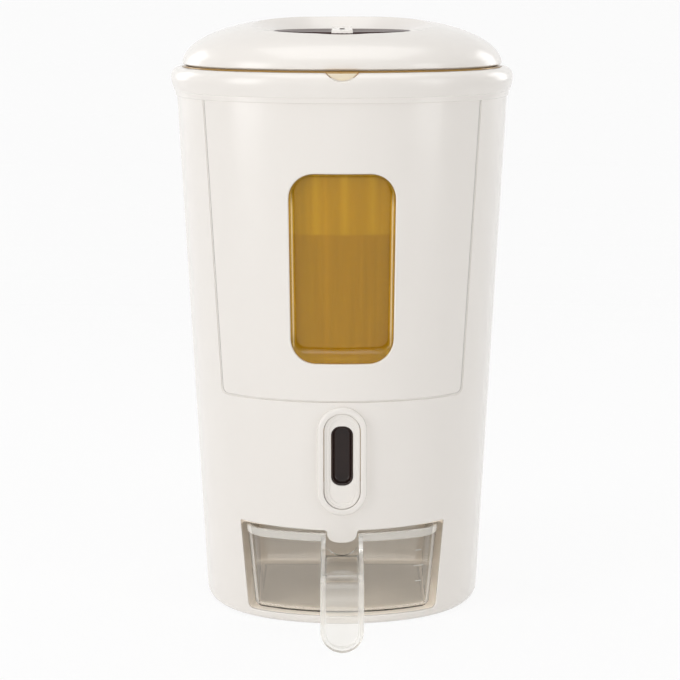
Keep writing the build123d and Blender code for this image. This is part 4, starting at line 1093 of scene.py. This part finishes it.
def clear_plastic(name):
    """Clear polished plastic with a barely warm tint and faint flow lines, and a pale diffuse layer over the
    rim, side corners and handle: painted light.
    """
    finish = Finish(name, {"IOR": 1.46, "Transmission Weight": 1.0})
    finish.mottle((248, 247, 244), (253, 252, 251), (90, 2, (1, 1, 0.2)), 0.015, 0.02)
    pale_edge_light = finish.node("ShaderNodeBsdfDiffuse", {"Color": shade((240, 237, 231))})
    up, back, aside = finish.along("Z"), finish.along("Y"), abs(finish.along("X"))
    rim = finish.ramp(up, rim_low, rim_low + 0.5)
    corner = cup_half - cup_low * cup_draft - 3.4
    corners = finish.ramp(aside - up * cup_draft, corner, corner + 0.6) * (1 - finish.ramp(back, -74, -68))
    outside = 1 - finish.ramp(back, -112, -100)
    below_bend = 1 - finish.ramp(up, handle_z - handle_bend, handle_z + 4)
    flange = finish.ramp(aside, notch_half, notch_half + 0.6)
    # Painted light: a pale diffuse share on the rim band, the side corners and the handle's flanges, and a
    # fainter one over the handle below its bend.
    finish.layer(rim * 0.42 + corners * 0.5 + outside * (below_bend * 0.19 + flange * 0.26), pale_edge_light)
    finish.light_through((250, 249, 247))
    return finish


dress(measuring_cup, "cup", clear_plastic("clear_plastic"), "measuring_cup")

tick_count, tick_first, tick_spacing, tick_place = 3, 52.0, 11.6, 54.0
tick_size = (4.6, 0.5, 0.7)


def graduation_tree():
    """Row of moulded ticks, every second one longer, along a line with one turn for all."""
    tree = bpy.data.node_groups.new("graduation", "GeometryNodeTree")
    wanted = {"Ticks": "Int", "First": "Vector", "Step": "Vector", "Turn": "Vector", "Size": "Vector",
              "Finish": "Material"}
    keys = {}
    for label, kind in wanted.items():
        socket = tree.interface.new_socket(label, in_out="INPUT", socket_type="NodeSocket" + kind)
        keys[label] = socket.identifier
    tree.interface.new_socket("Marks", in_out="OUTPUT", socket_type="NodeSocketGeometry")
    plan = Wiring(tree)
    given = {label: plan.node("NodeGroupInput", output=label) for label in wanted}
    row = plan.node("GeometryNodeMeshLine", {"Count": given["Ticks"], "Start Location": given["First"],
                                             "Offset": given["Step"]})
    tick = plan.node("GeometryNodeMeshCube", {"Size": given["Size"]})
    number = plan.node("GeometryNodeInputIndex")
    longer = number.math("MODULO", number, 2) * 0.8 + 1.0
    stretch = plan.node("ShaderNodeCombineXYZ", {"X": longer, "Y": 1.0, "Z": 1.0})
    turned = plan.node("FunctionNodeEulerToRotation", {"Euler": given["Turn"]})
    spread = plan.node("GeometryNodeInstanceOnPoints", {"Points": row, "Instance": tick, "Rotation": turned,
                                                        "Scale": stretch})
    real = plan.node("GeometryNodeRealizeInstances", {"Geometry": spread})
    painted = plan.node("GeometryNodeSetMaterial", {"Geometry": real, "Material": given["Finish"]})
    plan.plug(tree.nodes.new("NodeGroupOutput").inputs["Marks"], painted)
    return tree, keys


def cup_wall_point(x, z):
    """Point on the cup's bowed front at a side place and a height."""
    bow = face_y + cup_front + cup_growth(z)
    return Vector((x, face_y - math.sqrt(bow ** 2 - x ** 2), z)) * MM


mark_finish = Finish("moulded_marks", {"IOR": 1.46, "Transmission Weight": 0.5})
mark_finish.mottle((232, 228, 221), (242, 239, 233), (300,), 0.35, 0.1, (500,))
scale_tree, scale_keys = graduation_tree()
tick_start = cup_wall_point(tick_place, tick_first)
tick_next = cup_wall_point(tick_place, tick_first - tick_spacing)
tick_turn = math.asin(tick_place / (face_y + cup_front + cup_growth(tick_first)))
cup_scale = bpy.data.objects.new("cup_scale", bpy.data.meshes.new("cup_scale"))
scene.collection.objects.link(cup_scale)
scale_maker = cup_scale.modifiers.new("graduation", "NODES")
scale_maker.node_group = scale_tree
scale_inputs = {"Ticks": tick_count, "First": tick_start, "Step": tick_next - tick_start,
                "Turn": (0, 0, tick_turn), "Size": Vector(tick_size) * MM, "Finish": mark_finish.material}
for label, value in scale_inputs.items():
    scale_maker[scale_keys[label]] = value
bake_modifiers(cup_scale)
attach(cup_scale, "cup")


# Drawer bay: the cream moulded tunnel behind the mouth, in which the cup slides. It keeps its CAD
# solid, and a faint glow stands for the light that reaches it through the clear cup.
def refinish(finish, *names):
    """Give CAD solids a finish."""
    for name in names:
        nodes[name].data.materials.clear()
        nodes[name].data.materials.append(finish.material)


bay_cream = cream_plastic("bay_plastic", (246, 236, 222), 0.34, 0.16)
# The glow is painted light: brightest on the floor, and dimming towards the back, painted shade.
bay_rear_shade = bay_cream.ramp(bay_cream.along("Y"), -20, 40)
bay_floor_light = 1 - bay_cream.ramp(bay_cream.along("Z"), 8, 11)
bay_light = bay_cream.blend(bay_rear_shade, (215, 203, 188), (120, 112, 103))
bay_cream.feed("Emission Color", bay_cream.blend(bay_floor_light, bay_light, (255, 248, 238)))
refinish(bay_cream, "drawer_bay")


# Works inside the casing, all left as CAD solids: chute, gate, rod, lid plate, desiccant box and base
# plate are off-white mouldings, the pins and screws are plain steel, the feet and the seal are rubber.
inner_plastic = cream_plastic("inner_plastic", (238, 231, 221), 0.4)
refinish(inner_plastic, "outlet_chute", "gate_plate", "push_rod", "lid_liner", "desiccant_cup", "base_plate")


def soft_rubber(name, colour):
    """Matte rubber with a fine bloom."""
    finish = Finish(name, {"IOR": 1.45})
    finish.mottle(colour, toned(colour, 1.12), (260, 3), 0.62, 0.2)
    grain = {"Height": finish.noise(1400, 2), "Strength": 0.1, "Distance": 0.0002}
    finish.feed("Normal", finish.node("ShaderNodeBump", grain))
    return finish


steel = Finish("drawn_steel", {"Metallic": 1.0})
steel.mottle((168, 168, 166), (196, 196, 194), (1500, 2, (0.05, 1, 1)), 0.28, 0.16)
refinish(steel, "hinge_pin", "spring_pin", "base_screws")
refinish(soft_rubber("seal_rubber", (206, 203, 196)), "lid_seal")
refinish(soft_rubber("foot_rubber", (112, 110, 106)), "foot_front_left", "foot_front_right", "foot_rear_left",
         "foot_rear_right")


# Return spring: a coil of steel wire between the gate's rear edge and the chute's post, its end turns
# wound close.
spring_turns, turn_steps, wire_steps, end_closeness = 6, 36, 12, 0.45
wire_radius, gate_travel = 0.45, 8.25
spring_box = [Vector(corner) * (1 / MM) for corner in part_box("return_spring")]
coil_radius = (spring_box[1].x - spring_box[0].x) / 2 - wire_radius
spring_front, spring_back = spring_box[0].y + wire_radius, spring_box[1].y - wire_radius
spring_z = (spring_box[0].z + spring_box[1].z) / 2
coil_loops = []
for step in range(spring_turns * turn_steps + 1):
    share = step / (spring_turns * turn_steps)
    spread = share - end_closeness * math.sin(2 * math.pi * share) / (2 * math.pi)
    swing = 2 * math.pi * spring_turns * share
    middle = Vector((0, spring_front + (spring_back - spring_front) * spread, spring_z))
    outward = Vector((math.cos(swing), 0, math.sin(swing)))
    coil_loops.append([tuple(middle + outward * (coil_radius + out) + Vector((0, along, 0)))
                       for out, along in circle(wire_radius, wire_steps)])
return_spring = loft("return_spring_wire", coil_loops)
dress(return_spring, "casing", steel, "return_spring")
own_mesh(return_spring)
